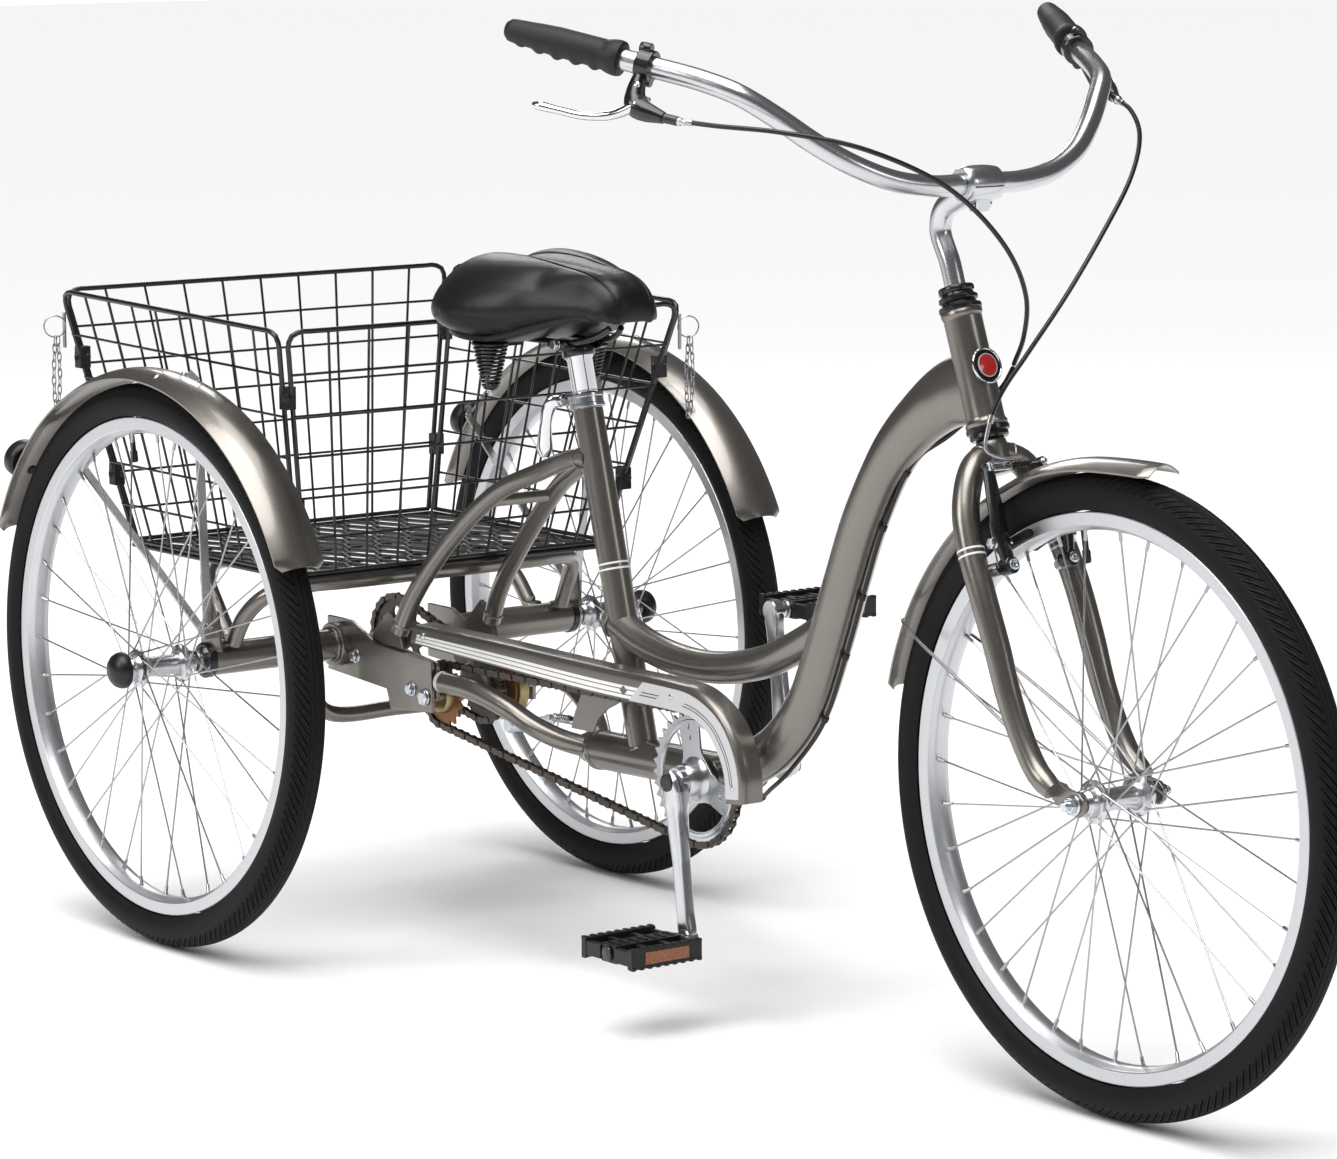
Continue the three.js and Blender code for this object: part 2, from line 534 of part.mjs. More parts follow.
// ---------------------------------------------------------------- V-brake and cables
for (const [name, side] of [['right', -1], ['left', 1]]) {
  const foot = armPost(side);
  const top = foot.clone().addScaledVector(up, 102).addScaledVector(ahead, 2).setY(side * 35);
  const collar = pipe(foot.clone().addScaledVector(ahead, -2), foot.clone().addScaledVector(ahead, 13), 9, 4.5, 10);
  const armFoot = foot.clone().addScaledVector(up, 5).addScaledVector(ahead, 6);
  const arm = tube([armFoot, foot.clone().addScaledVector(up, 40).addScaledVector(ahead, 8).setY(side * 43), top], 4.5, 6, 5);
  const shoeAt = foot.clone().addScaledVector(up, 25).addScaledVector(ahead, 3);
  const hold = rod(shoeAt.clone().setY(side * 46), shoeAt.clone().setY(side * 24), 4, 8);
  const along = at(-shoeAt.z + frontHub.z, 0, shoeAt.x - frontHub.x).normalize();
  const shoe = rod(
    shoeAt.clone().addScaledVector(along, -26).setY(side * 22.6),
    shoeAt.clone().addScaledVector(along, 26).setY(side * 22.6), 5, 8,
  );
  add(`brake_arm_${name}`, 'plastic', join(cut(join(collar, arm), rod(foot.clone().addScaledVector(ahead, -12), foot.clone().addScaledVector(ahead, 16), 4.5, 10)), hold, shoe));
}

const frontCable = [
  at(950, 290, 990), at(985, 274, 982), at(1040, 236, 960), at(1088, 180, 922), at(1114, 120, 872), at(1122, 62, 810),
  at(1118, 12, 752), at(1113, -16, 716), at(1110, -30, 684), at(1114, -36, 660), at(1124, -22, 652), at(1130, -4, 652),
];
add('front_brake_cable', 'plastic', tube(frontCable, 2.5, 8, 22));

const rearCableTop = [
  at(950, -290, 990), at(985, -276, 987), at(1040, -240, 982), at(1095, -180, 966), at(1136, -105, 926), at(1150, -45, 868),
  at(1138, -6, 815), at(1112, 14, 770), at(1084, 26, 740),
];
add('rear_brake_cable_top', 'plastic', tube(rearCableTop, 2.5, 8, 20));

const rearCable = [
  at(1081, 27.5, 736), at(1062, 31, 716), at(1034, 30, 694), at(996, 16, 660), at(958, 2, 631), at(910, 0, 556), at(880, 0, 488),
  at(848.5, 0, 412), at(810, 0, 334), at(753, 0, 275), at(715, 6, 250), at(676, 18, 230), at(640, 27, 225), at(540, 34, 222),
  at(440, 40, 226), at(380, 47, 238), at(320, 56, 258), at(262, 58, 259),
];
add('rear_brake_cable', 'plastic', tube(rearCable, 2.5, 8, 30));

// ---------------------------------------------------------------- cranks and pedals
const crankTip = (side) => at(
  BB.x - side * CRANK_LENGTH * Math.sin(CRANK_LEAN), side * 87, BB.z + side * CRANK_LENGTH * Math.cos(CRANK_LEAN),
);

function crankArm(side) {
  const root = at(BB.x, side * 80, BB.z);
  const tip = crankTip(side);
  const way = tip.clone().sub(root).normalize();
  return join(
    rod(root.clone().setY(side * 67), root.clone().setY(side * 90), 15, 12),
    rod(root.clone().addScaledVector(way, 4), tip.clone().addScaledVector(way, -2), 10, 8, 7),
    rod(tip.clone().setY(side * 80), tip.clone().setY(side * 95), 12, 10),
  );
}

const spindle = rod(at(BB.x, -68, BB.z), at(BB.x, 66.5, BB.z), 8.5, 12);
const bearing = (y) => rod(at(BB.x, y - 5, BB.z), at(BB.x, y + 5, BB.z), 16.4, 14);
add('crank_left', 'alloy', crankArm(1));

const ringWindow = (turn) => {
  const arc = (radius, from, to, steps) => Array.from({ length: steps + 1 }, (_, i) => {
    const angle = THREE.MathUtils.degToRad(turn + from + ((to - from) * i) / steps);
    return [BB.x + radius * Math.cos(angle), BB.z + radius * Math.sin(angle)];
  });
  return plate([...arc(60, -44, 44, 5), ...arc(28, 30, -30, 2)], CRANK_CHAIN_Y - 5, CRANK_CHAIN_Y + 5);
};
const ring = sprocket(RING_TEETH, 3, 15).translate(BB.x, CRANK_CHAIN_Y, BB.z);
const ringBoss = rod(at(BB.x, CRANK_CHAIN_Y - 20, BB.z), at(BB.x, CRANK_CHAIN_Y + 3, BB.z), 22, 12);
const chainring = cut(join(ring, ringBoss), ...[42, 162, 282].map(ringWindow));
add('crank_right', 'alloy', join(crankArm(-1), spindle, bearing(-26), bearing(26), chainring));

function pedal(side) {
  const centre = crankTip(side).setY(side * 150);
  const frameOut = box(at(centre.x - 46, centre.y - 48, centre.z - 12), at(centre.x + 46, centre.y + 48, centre.z + 12));
  const slots = [-1, 1].map((end) => box(
    at(centre.x + end * 24 - 15, centre.y - 39, centre.z - 20), at(centre.x + end * 24 + 15, centre.y + 39, centre.z + 20),
  ));
  const pinStart = crankTip(side).setY(side * 97);
  return join(cut(frameOut, ...slots), rod(pinStart, centre, 6, 10));
}
add('pedal_right', 'plastic', pedal(-1));
add('pedal_left', 'plastic', pedal(1));

// ---------------------------------------------------------------- jackshaft and rear axle
const toothPhase = 5;
add('jackshaft', 'steel', join(
  rod(at(JACK.x, -80, JACK.z), at(JACK.x, 80, JACK.z), 7, 12),
  sprocket(JACK_TEETH, 3, 6, toothPhase).translate(JACK.x, CRANK_CHAIN_Y, JACK.z),
  sprocket(JACK_TEETH, 3, 6, toothPhase).translate(JACK.x, AXLE_CHAIN_Y, JACK.z),
  rod(at(JACK.x, 30, JACK.z), at(JACK.x, 50, JACK.z), 34, 20),
));

const cap = (side) => aim(
  new THREE.LatheGeometry([[0, 0], [21, 0], [20, 8], [14, 15], [6, 18.6], [0, 19]].map(([r, h]) => new THREE.Vector2(r, h)), 16),
  at(0, side * 367.3, TYRE_R), at(0, side * 400, TYRE_R),
);
const axleBearing = (side) => rod(at(0, side * 244, TYRE_R), at(0, side * 258, TYRE_R), HOUSING_BORE - GAP, 14);
add('rear_axle', 'steel', join(
  rod(at(0, -368, TYRE_R), at(0, 368, TYRE_R), AXLE_R, 12), cap(-1), cap(1), axleBearing(-1), axleBearing(1),
  sprocket(AXLE_TEETH, 3, AXLE_R - 1).translate(0, AXLE_CHAIN_Y, TYRE_R),
));

// ---------------------------------------------------------------- band brake
const bandHub = at(JACK.x + 12, 0, JACK.z - 44);
add('band_brake_bracket', 'steel', join(
  pipe(at(JACK.x, 33, JACK.z), at(JACK.x, 47, JACK.z), 37.5, 35, 24),
  cut(rod(bandHub.clone().setY(33), bandHub.clone().setY(50), 9, 10), rod(at(JACK.x, 20, JACK.z), at(JACK.x, 60, JACK.z), 36, 20)),
));
add('band_brake_arm', 'steel', join(
  rod(bandHub.clone().setY(50.5), bandHub.clone().setY(58), 9, 10),
  rod(bandHub.clone().setY(55), at(240, 55, 254), 4, 6),
));

// ---------------------------------------------------------------- chain guard
const guardOutline = [
  [131, 341], [139, 366], [300, 364], [490, 362], [655, 362], [690, 352], [722, 332], [744, 303], [753, 272], [752, 246],
  [722, 243], [722, 268], [712, 292], [696, 312], [672, 326], [648, 330], [486, 330],
];
const guardHollow = [
  [127, 339], [135, 363.8], [300, 361.8], [490, 359.8], [654, 359.8], [689, 350], [720, 330.6], [741.6, 302.4], [750.7, 272],
  [749.8, 240], [716, 240], [716, 267], [706, 290], [690, 307], [670, 320], [648, 324], [486, 324],
];
add('chain_guard', 'paint', cut(plate(guardOutline, -64, -36), plate(guardHollow, -62, -30)));

// ---------------------------------------------------------------- seat
add('seat_post', 'chrome', join(rod(seat(120), seat(-74), POST_R, 14), rod(seat(-74.5), seat(-58), 17, 12)));

const springTop = 707;
const springFoot = 655;
for (const [name, side] of [['right', -1], ['left', 1]]) {
  add(`seat_spring_${name}`, 'wire', rod(at(306, side * 70, springFoot), at(306, side * 70, springTop - GAP), 8, 12, 22));
}

// The saddle: rounded slices from the broad tail to the narrow nose, joined into one skin.
function saddle() {
  const slices = [
    [214, 62, 722, 770], [232, 104, 712, 789], [268, 125, 708, 802], [310, 122, 708, 806], [352, 104, 712, 800],
    [392, 76, 716, 789], [430, 54, 720, 783], [464, 42, 724, 779], [486, 30, 734, 772],
  ];
  const around = 14;
  const points = [];
  for (const [x, half, low, high] of slices) {
    for (let i = 0; i < around; i += 1) {
      const turn = (i / around) * Math.PI * 2;
      const rise = Math.sin(turn);
      const middle = (low + high) / 2;
      const z = middle + ((high - low) / 2) * Math.sign(rise) * Math.abs(rise) ** 0.8;
      points.push(at(x, half * Math.cos(turn), rise < -0.2 ? low : z));
    }
  }
  const ends = [points.length, points.length + 1];
  points.push(at(208, 0, 745), at(492, 0, 754));
  const faces = [];
  for (let s = 0; s < slices.length - 1; s += 1) {
    for (let i = 0; i < around; i += 1) {
      const next = (i + 1) % around;
      const [a, b] = [s * around + i, s * around + next];
      faces.push(a, b, b + around, a, b + around, a + around);
    }
  }
  const last = (slices.length - 1) * around;
  for (let i = 0; i < around; i += 1) {
    const next = (i + 1) % around;
    faces.push(next, i, ends[0], last + i, last + next, ends[1]);
  }
  const geometry = new THREE.BufferGeometry().setFromPoints(points);
  geometry.setIndex(faces);
  return geometry;
}
add('saddle', 'vinyl', cut(saddle(), rod(seat(0), seat(-80), 19, 12)));

add('seat_lever', 'chrome', tube([at(362, -12, 641), at(356, -19, 640), at(348, -22, 628), at(343, -22, 604), at(340, -21, 576)], 3.5, 8, 10));

// ---------------------------------------------------------------- origin at mid wheelbase
trike.position.x = -WHEELBASE / 2;
trike.updateMatrixWorld(true);
export default trike;
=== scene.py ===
"""An adult tricycle's looks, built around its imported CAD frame.

Shapes are drawn in millimetres from the rear axle's place on the ground (x forwards, y to the
rider's left, z up), as the CAD source is, and piece() moves them into the CAD frame in metres.
"""
import json
import math

import bmesh
import bpy
import numpy as np
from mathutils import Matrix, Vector
from mathutils.bvhtree import BVHTree


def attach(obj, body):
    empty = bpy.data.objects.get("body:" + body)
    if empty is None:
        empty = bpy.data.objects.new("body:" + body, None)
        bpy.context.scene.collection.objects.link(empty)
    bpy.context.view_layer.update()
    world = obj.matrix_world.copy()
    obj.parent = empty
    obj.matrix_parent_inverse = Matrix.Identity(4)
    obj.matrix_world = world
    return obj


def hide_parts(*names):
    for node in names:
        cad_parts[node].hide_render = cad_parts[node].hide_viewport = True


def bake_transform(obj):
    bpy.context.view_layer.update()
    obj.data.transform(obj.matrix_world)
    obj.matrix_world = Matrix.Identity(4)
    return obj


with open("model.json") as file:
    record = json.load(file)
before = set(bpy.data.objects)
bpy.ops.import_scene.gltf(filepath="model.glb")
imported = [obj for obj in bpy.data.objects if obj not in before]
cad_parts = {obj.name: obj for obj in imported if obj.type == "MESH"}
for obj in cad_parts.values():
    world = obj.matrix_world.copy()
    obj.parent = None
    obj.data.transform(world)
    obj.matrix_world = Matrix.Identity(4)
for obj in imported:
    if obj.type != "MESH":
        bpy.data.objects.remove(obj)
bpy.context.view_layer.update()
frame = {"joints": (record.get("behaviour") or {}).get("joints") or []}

JOINTS = {joint["name"]: joint for joint in frame["joints"]}
REAR = np.array(JOINTS["rear_axle_spin"]["pos_m"]) * 1000
ORIGIN = np.array([REAR[0], 0.0, 0.0])


def spot(joint):
    """A joint's pivot, in drawing millimetres."""
    return np.array(JOINTS[joint]["pos_m"]) * 1000 - ORIGIN


def at(x, y, z):
    """A point or direction, in drawing millimetres."""
    return np.array([x, y, z], float)


FRONT_HUB = spot("front_wheel_spin")
RIGHT_HUB = spot("right_wheel_spin")
LEFT_HUB = RIGHT_HUB * at(1, -1, 1)
REAR_AXLE = spot("rear_axle_spin")
BB = spot("crank_spin")
JACK = spot("jackshaft_spin")
HEAD_TOP = spot("steering")
UP = np.array(JOINTS["steering"]["axis"])
AHEAD = at(UP[2], 0, -UP[0])
SIDE = at(0, 1, 0)
SKY = at(0, 0, 1)
TYRE_R = FRONT_HUB[2]
HEAD_LENGTH = 121
CHAIN_PITCH = 12.7
# the name and the sign in y of each side of the tricycle
SIDES = (("right", -1), ("left", 1))

# ---------------------------------------------------------------- geometry: (points, faces)


def unit(v):
    """A direction of length 1."""
    v = np.array(v, float)
    return v / np.linalg.norm(v)


def mirrored(points):
    """Points on the other side of the middle plane."""
    return [np.array(p) * at(1, -1, 1) for p in points]


def joined(*shapes):
    """Several shapes as one."""
    points, faces, count = [], [], 0
    for p, f in shapes:
        points.append(p)
        faces += [tuple(i + count for i in face) for face in f]
        count += len(p)
    return np.concatenate(points), faces


def basis(axis, hint=SKY):
    """Two directions across an axis, the second as near to the hint as it can be."""
    axis = unit(axis)
    if abs(axis @ hint) > 0.99:
        hint = at(1, 0, 0)
    across = unit(np.cross(hint, axis))
    return across, np.cross(axis, across)


def skin(rings, cap=True, closed_path=False):
    """Faces over rows of points, each row the same length."""
    rows, count = len(rings), len(rings[0])
    faces = []
    for r in range(rows if closed_path else rows - 1):
        for i in range(count):
            j, s = (i + 1) % count, (r + 1) % rows
            faces.append((r * count + i, r * count + j, s * count + j, s * count + i))
    if cap and not closed_path:
        faces.append(tuple(reversed(range(count))))
        faces.append(tuple((rows - 1) * count + i for i in range(count)))
    return np.concatenate(rings), faces


def smooth(points, step=6.0):
    """A centripetal Catmull-Rom line through points, as evenly spaced points."""
    p = [np.array(q, float) for q in points]
    p = [2 * p[0] - p[1], *p, 2 * p[-1] - p[-2]]
    line = []
    for a, b, c, d in zip(p, p[1:], p[2:], p[3:]):
        ta, tb, tc = (max(np.linalg.norm(v), 1e-6) ** 0.5 for v in (b - a, c - b, d - c))
        start = ((b - a) / ta - (c - a) / (ta + tb) + (c - b) / tb) * tb
        end = ((c - b) / tb - (d - b) / (tb + tc) + (d - c) / tc) * tb
        for t in np.linspace(0, 1, 24, endpoint=False):
            line.append(b * (1 + 2 * t) * (1 - t) ** 2 + start * t * (1 - t) ** 2
                        + c * t * t * (3 - 2 * t) + end * t * t * (t - 1))
    line.append(p[-2])
    line = np.array(line)
    along = np.concatenate([[0], np.cumsum(np.linalg.norm(np.diff(line, axis=0), axis=1))])
    places = np.linspace(0, along[-1], max(2, round(along[-1] / step)) + 1)
    return np.stack([np.interp(places, along, line[:, k]) for k in range(3)], axis=1)


def varied(line, shares, values):
    """A value for each point of a line, from values at some shares of its count."""
    return np.interp(np.linspace(0, 1, len(line)), shares, values)


def sweep(line, radius, sides=20, wide=1.0, hint=SKY, loop=False):
    """A tube along a line. The radius may vary, and wide stretches it sideways."""
    line = np.array(line, float)
    radii = np.broadcast_to(np.array(radius, float), (len(line),))
    wides = np.broadcast_to(np.array(wide, float), (len(line),))
    if loop:
        ways = np.roll(line, -1, axis=0) - np.roll(line, 1, axis=0)
    else:
        ways = np.gradient(line, axis=0)
    across, over = basis(ways[0], hint)
    turn = np.linspace(0, 2 * math.pi, sides, endpoint=False)[:, None]
    rings = []
    for place, way, r, w in zip(line, ways, radii, wides):
        way = unit(way)
        over = unit(over - way * (over @ way))
        across = np.cross(over, way)
        rings.append(place + r * (w * np.cos(turn) * across + np.sin(turn) * over))
    return skin(rings, closed_path=loop)


def tube(points, radius, sides=20, step=6.0, **more):
    """A round tube along a smooth line through points."""
    return sweep(smooth(points, step), radius, sides, **more)


def lathe(profile, origin, axis, segments=48, loop=False):
    """(radius, height) pairs turned about an axis. A zero radius at an end closes it."""
    across, over = basis(axis)
    turn = np.linspace(0, 2 * math.pi, segments, endpoint=False)[:, None]
    spin = np.cos(turn) * across + np.sin(turn) * over
    rings = [origin + unit(axis) * h + max(r, 0.01) * spin for r, h in profile]
    return skin(rings, cap=not loop, closed_path=loop)


def rod(start, end, radius, segments=24, chamfer=0.0, end_radius=None):
    """A straight bar, chamfered or tapered if wanted."""
    length = np.linalg.norm(end - start)
    last = radius if end_radius is None else end_radius
    profile = [(radius - chamfer, 0), (radius, chamfer), (last, length - chamfer), (last - chamfer, length)]
    if not chamfer:
        profile = [(radius, 0), (last, length)]
    return lathe(profile, start, end - start, segments)


def pipe(start, end, outer, bore, segments=40, lip=0.5):
    """A straight tube with an open bore."""
    n = np.linalg.norm(end - start)
    ring = [(bore, 0), (outer - lip, 0), (outer, lip), (outer, n - lip), (outer - lip, n), (bore, n)]
    return lathe(ring, start, end - start, segments, loop=True)


def hexagon(origin, axis, across_flats, height):
    """A hexagon head or nut with chamfered corners, standing on its origin."""
    r = across_flats / math.sqrt(3)
    return lathe([(r, 0), (r, height * 0.8), (r * 0.86, height)], origin, axis, 6)


def bolt(origin, axis, size=6):
    """A washer and a hexagon head with a raised middle."""
    axis = unit(axis)
    head, washer = size * 0.62, 1.4
    return joined(
        lathe([(size * 1.15, 0), (size * 1.15, 1), (size, washer), (0, washer)], origin, axis, 28),
        hexagon(origin + axis * washer, axis, size * 1.65, head),
        lathe([(head, 0), (size * 0.56, 0.5), (0, 0.6)], origin + axis * (washer + head), axis, 24),
    )


def prism(outline, low, high):
    """An outline of (x, z) points between two heights in y."""
    bottom = [at(x, low, z) for x, z in outline]
    top = [at(x, high, z) for x, z in outline]
    count = len(outline)
    faces = [(i, (i + 1) % count, (i + 1) % count + count, i + count) for i in range(count)]
    faces.append(tuple(reversed(range(count))))
    faces.append(tuple(range(count, 2 * count)))
    return np.array(bottom + top), faces


def brick(low, high):
    """A box between two corners."""
    (x0, y0, z0), (x1, y1, z1) = low, high
    return prism([(x0, z0), (x0, z1), (x1, z1), (x1, z0)], y0, y1)


def bar(start, end, wide, thick, hint=SKY):
    """A straight flat strip."""
    across, over = basis(end - start, hint)
    corners = [across * wide / 2 * i + over * thick / 2 * j for i,
               j in ((-1, -1), (1, -1), (1, 1), (-1, 1))]
    return skin([np.array([start + c for c in corners]), np.array([end + c for c in corners])])


def coil(start, end, radii, wire, turns, sides=8):
    """A spring's wire, wound between two points, its radius going from the first to the second."""
    across, over = basis(end - start)
    steps = int(turns * 20)
    line = []
    for i in range(steps + 1):
        share = i / steps
        turn = share * turns * 2 * math.pi
        rise = np.clip((share - 0.06) / 0.88, 0, 1)
        r = radii[0] + (radii[1] - radii[0]) * share
        line.append(start + (end - start) * rise + r * (across * math.cos(turn) + over * math.sin(turn)))
    return sweep(line, wire, sides)


def wheel_point(hub, radius, degrees, y=None):
    """A point on a circle round a hub, turned from the front towards the top."""
    turn = math.radians(degrees)
    return at(hub[0] + radius * math.cos(turn), hub[1] if y is None else y,
              hub[2] + radius * math.sin(turn))


def steer(rise, forward=0.0, y=0.0):
    """A point in the steered frame, from the top of the head tube."""
    return HEAD_TOP + UP * rise + AHEAD * forward + at(0, y, 0)


def moved(shape, offset):
    """A shape in another place."""
    return shape[0] + offset, shape[1]


# ---------------------------------------------------------------- materials


def set_inputs(node, **values):
    """Sets a node's sockets, named with _ for each space."""
    for key, value in values.items():
        node.inputs[key.replace("_", " ")].default_value = value
    return node


# the large pattern that every surface shares, and the part of the mixed pattern that is used
BROAD_SCALE = 9.0
BROAD_DETAIL = 6.0
PATTERN_LOW = 0.3
PATTERN_HIGH = 0.7


def finish(name, base, rough, metallic=0.0, grain=300.0, vary=0.08, bump=0.15, depth=0.0001,
           stretch=(1, 1, 1), rough_vary=0.06, kind="noise", **sockets):
    """A procedural surface: colour, roughness and height follow a pattern in the object's own space."""
    material = bpy.data.materials.new(name)
    material.use_nodes = True
    nodes, wires = material.node_tree.nodes, material.node_tree.links

    def add(type_name, **values):
        return set_inputs(nodes.new("ShaderNode" + type_name), **values)

    def halved(operation):
        node = add("Math")
        node.operation = operation
        node.inputs[1].default_value = 0.5
        return node

    shader = set_inputs(nodes["Principled BSDF"], Metallic=metallic, **sockets)
    where = add("TexCoord")
    place = add("Mapping", Scale=stretch)
    wires.new(where.outputs["Object"], place.inputs["Vector"])
    cells = kind == "cells"
    fine = add("TexVoronoi" if cells else "TexNoise", Scale=grain)
    wires.new(place.outputs["Vector"], fine.inputs["Vector"])
    fine_out = fine.outputs["Distance" if cells else "Fac"]
    broad = add("TexNoise", Scale=BROAD_SCALE, Detail=BROAD_DETAIL)
    wires.new(where.outputs["Object"], broad.inputs["Vector"])
    both, half = halved("MULTIPLY_ADD"), halved("MULTIPLY")
    wires.new(fine_out, both.inputs[0])
    wires.new(broad.outputs["Fac"], half.inputs[0])
    wires.new(half.outputs[0], both.inputs[2])
    ramp = add("ValToRGB")
    for element, position, factor in zip(ramp.color_ramp.elements, (PATTERN_LOW, PATTERN_HIGH),
                                         (1 - vary, 1 + vary)):
        element.position = position
        element.color = (*(min(1.0, c * factor) for c in base), 1)
    wires.new(both.outputs[0], ramp.inputs["Fac"])
    wires.new(ramp.outputs["Color"], shader.inputs["Base Color"])
    spread = add("MapRange", From_Min=PATTERN_LOW, From_Max=PATTERN_HIGH,
                 To_Min=max(0.02, rough - rough_vary), To_Max=rough + rough_vary)
    wires.new(both.outputs[0], spread.inputs["Value"])
    wires.new(spread.outputs["Result"], shader.inputs["Roughness"])
    relief = add("Bump", Strength=bump, Distance=depth)
    wires.new(fine_out, relief.inputs["Height"])
    wires.new(relief.outputs["Normal"], shader.inputs["Normal"])
    return material


PAINT = finish("pewter_paint", (0.205, 0.188, 0.169), 0.30, 0.88, grain=2600, vary=0.10, bump=0.12,
               kind="cells", Coat_Weight=0.55, Coat_Roughness=0.07)
GUARD_PAINT = finish("guard_paint", (0.180, 0.165, 0.149), 0.32, 0.84, grain=2600, vary=0.10, bump=0.12,
                     kind="cells", Coat_Weight=0.5, Coat_Roughness=0.08)
ALLOY = finish("satin_alloy", (0.58, 0.59, 0.61), 0.26, 1.0, grain=700, vary=0.04, bump=0.03,
               rough_vary=0.03, stretch=(1, 6, 1))
POLISHED = finish("polished_alloy", (0.62, 0.63, 0.65), 0.24, 1.0, grain=120, vary=0.04, bump=0.03,
                  rough_vary=0.03)
RIM = finish("rim_alloy", (0.60, 0.61, 0.63), 0.36, 0.9, grain=220, vary=0.04, bump=0.12)
CHROME = finish("chrome", (0.66, 0.67, 0.69), 0.10, 1.0, grain=90, vary=0.03, bump=0.04, rough_vary=0.03)
STEEL = finish("bright_steel", (0.42, 0.42, 0.43), 0.30, 1.0, grain=260, vary=0.08, bump=0.12)
ZINC = finish("blue_zinc", (0.60, 0.64, 0.68), 0.24, 1.0, grain=420, vary=0.14, bump=0.18)
GOLD_ZINC = finish("yellow_zinc", (0.34, 0.27, 0.14), 0.34, 0.95, grain=140, vary=0.22, bump=0.15)
DRUM = finish("brake_drum", (0.24, 0.115, 0.05), 0.42, 0.85, grain=120, vary=0.25, bump=0.2)
CHAIN = finish("oiled_chain", (0.095, 0.082, 0.07), 0.38, 0.9, grain=500, vary=0.25, bump=0.2)
SPROCKET = finish("dark_sprocket", (0.075, 0.068, 0.06), 0.42, 0.8, grain=300, vary=0.2, bump=0.2)
TYRE = finish("tyre_rubber", (0.0048, 0.0046, 0.0048), 0.62, grain=900, vary=0.2, bump=0.3, rough_vary=0.08,
              Specular_IOR_Level=0.18)
GRIP = finish("grip_rubber", (0.010, 0.010, 0.011), 0.52, grain=1500, vary=0.15, bump=0.35,
              Specular_IOR_Level=0.35)
PLASTIC = finish("black_plastic", (0.006, 0.006, 0.0065), 0.38, grain=1800, vary=0.15, bump=0.25,
                 Specular_IOR_Level=0.4)
BLACK = finish("satin_black", (0.005, 0.005, 0.0055), 0.27, grain=700, vary=0.15, bump=0.15,
               Coat_Weight=0.3)
WIRE = finish("coated_wire", (0.0045, 0.0045, 0.005), 0.34, grain=500, vary=0.15, bump=0.2,
              Coat_Weight=0.25)
CABLE = finish("cable_jacket", (0.004, 0.004, 0.0045), 0.33, grain=900, vary=0.1, bump=0.1)
VINYL = finish("saddle_vinyl", (0.005, 0.005, 0.0055), 0.37, grain=620, vary=0.12, bump=0.5, depth=0.0003,
               kind="cells", Coat_Weight=0.08, Coat_Roughness=0.3, Specular_IOR_Level=0.3)
WHITE = finish("stripe_white", (0.80, 0.80, 0.79), 0.35, grain=400, vary=0.03, bump=0.05, Coat_Weight=0.4)
LINE_GREY = finish("line_grey", (0.10, 0.10, 0.10), 0.4, grain=500, vary=0.1, bump=0.05)
SILVER = finish("silver_panel", (0.60, 0.60, 0.61), 0.38, 0.35, grain=2200, vary=0.08, bump=0.1,
                kind="cells")
RED = finish("red_enamel", (0.42, 0.018, 0.016), 0.22, grain=300, vary=0.06, bump=0.05, Coat_Weight=0.6)
LENS_RED = finish("red_lens", (0.45, 0.012, 0.010), 0.12, grain=520, vary=0.3, bump=0.9, depth=0.0012,
                  kind="cells", Coat_Weight=0.8)
LENS_AMBER = finish("amber_lens", (0.24, 0.062, 0.004), 0.14, grain=620, vary=0.3, bump=0.9, depth=0.001,
                    kind="cells", Coat_Weight=0.8)
# painted shade: a near-black finish for the dark pieces that stand in for the shade inside open tube ends
# and slots
HOLLOW_SHADE = finish("tube_inside", (0.03, 0.027, 0.025), 0.7, grain=300, vary=0.2, bump=0.2)


# ---------------------------------------------------------------- pieces


BEVEL_FROM = math.radians(40)


def placed(name, data):
    """A new object in the scene."""
    obj = bpy.data.objects.new(name, data)
    bpy.context.scene.collection.objects.link(obj)
    return obj


def piece(name, shape, material, body, replaces=(), bevel=0.0, angle=38):
    """Makes one named object from a shape, or a list of shapes, and hangs it on its body.

    Shapes are in drawing millimetres. A body is a name, or (first, second, start, end), whose four
    parts are not used: such a piece is hung on no body and stays where it is drawn.
    """
    points, faces = joined(*shape) if isinstance(shape, list) else shape
    mesh = bpy.data.meshes.new(name)
    mesh.from_pydata(((points + ORIGIN) / 1000).tolist(), [], faces)
    mesh.materials.append(material)
    mesh.shade_smooth()
    obj = placed(name, mesh)
    tidy_normals(mesh)
    mesh.set_sharp_from_angle(angle=math.radians(angle))
    if bevel:
        edge = obj.modifiers.new("edges", "BEVEL")
        edge.width = bevel / 1000
        edge.segments = 2
        edge.limit_method = "ANGLE"
        edge.angle_limit = BEVEL_FROM
        edge.harden_normals = False
    if isinstance(body, str):
        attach(obj, body)
    else:
        first, second, start, end = body
        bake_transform(obj)
    if replaces:
        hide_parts(*([replaces] if isinstance(replaces, str) else replaces))
    return obj


def tidy_normals(mesh):
    """Turns every closed part's faces outwards."""
    work = bmesh.new()
    work.from_mesh(mesh)
    bmesh.ops.recalc_face_normals(work, faces=work.faces)
    work.to_mesh(mesh)
    work.free()


# ---------------------------------------------------------------- wheels
TREAD_STEP = 170
TREAD_PARTS = 6
SPOKES_A_SIDE = 18
TYRE_SECTION = 22
SIPE_DEPTH = 1.7
STUD_GAP_DEPTH = 1.3
GROOVE_DEPTH = 1.1
BEAD_ANGLE = 133
# the circle of spoke holes and its distance from the wheel's middle
FLANGE_R = 18
FLANGE_Y = 29
VALVE_AT = 101


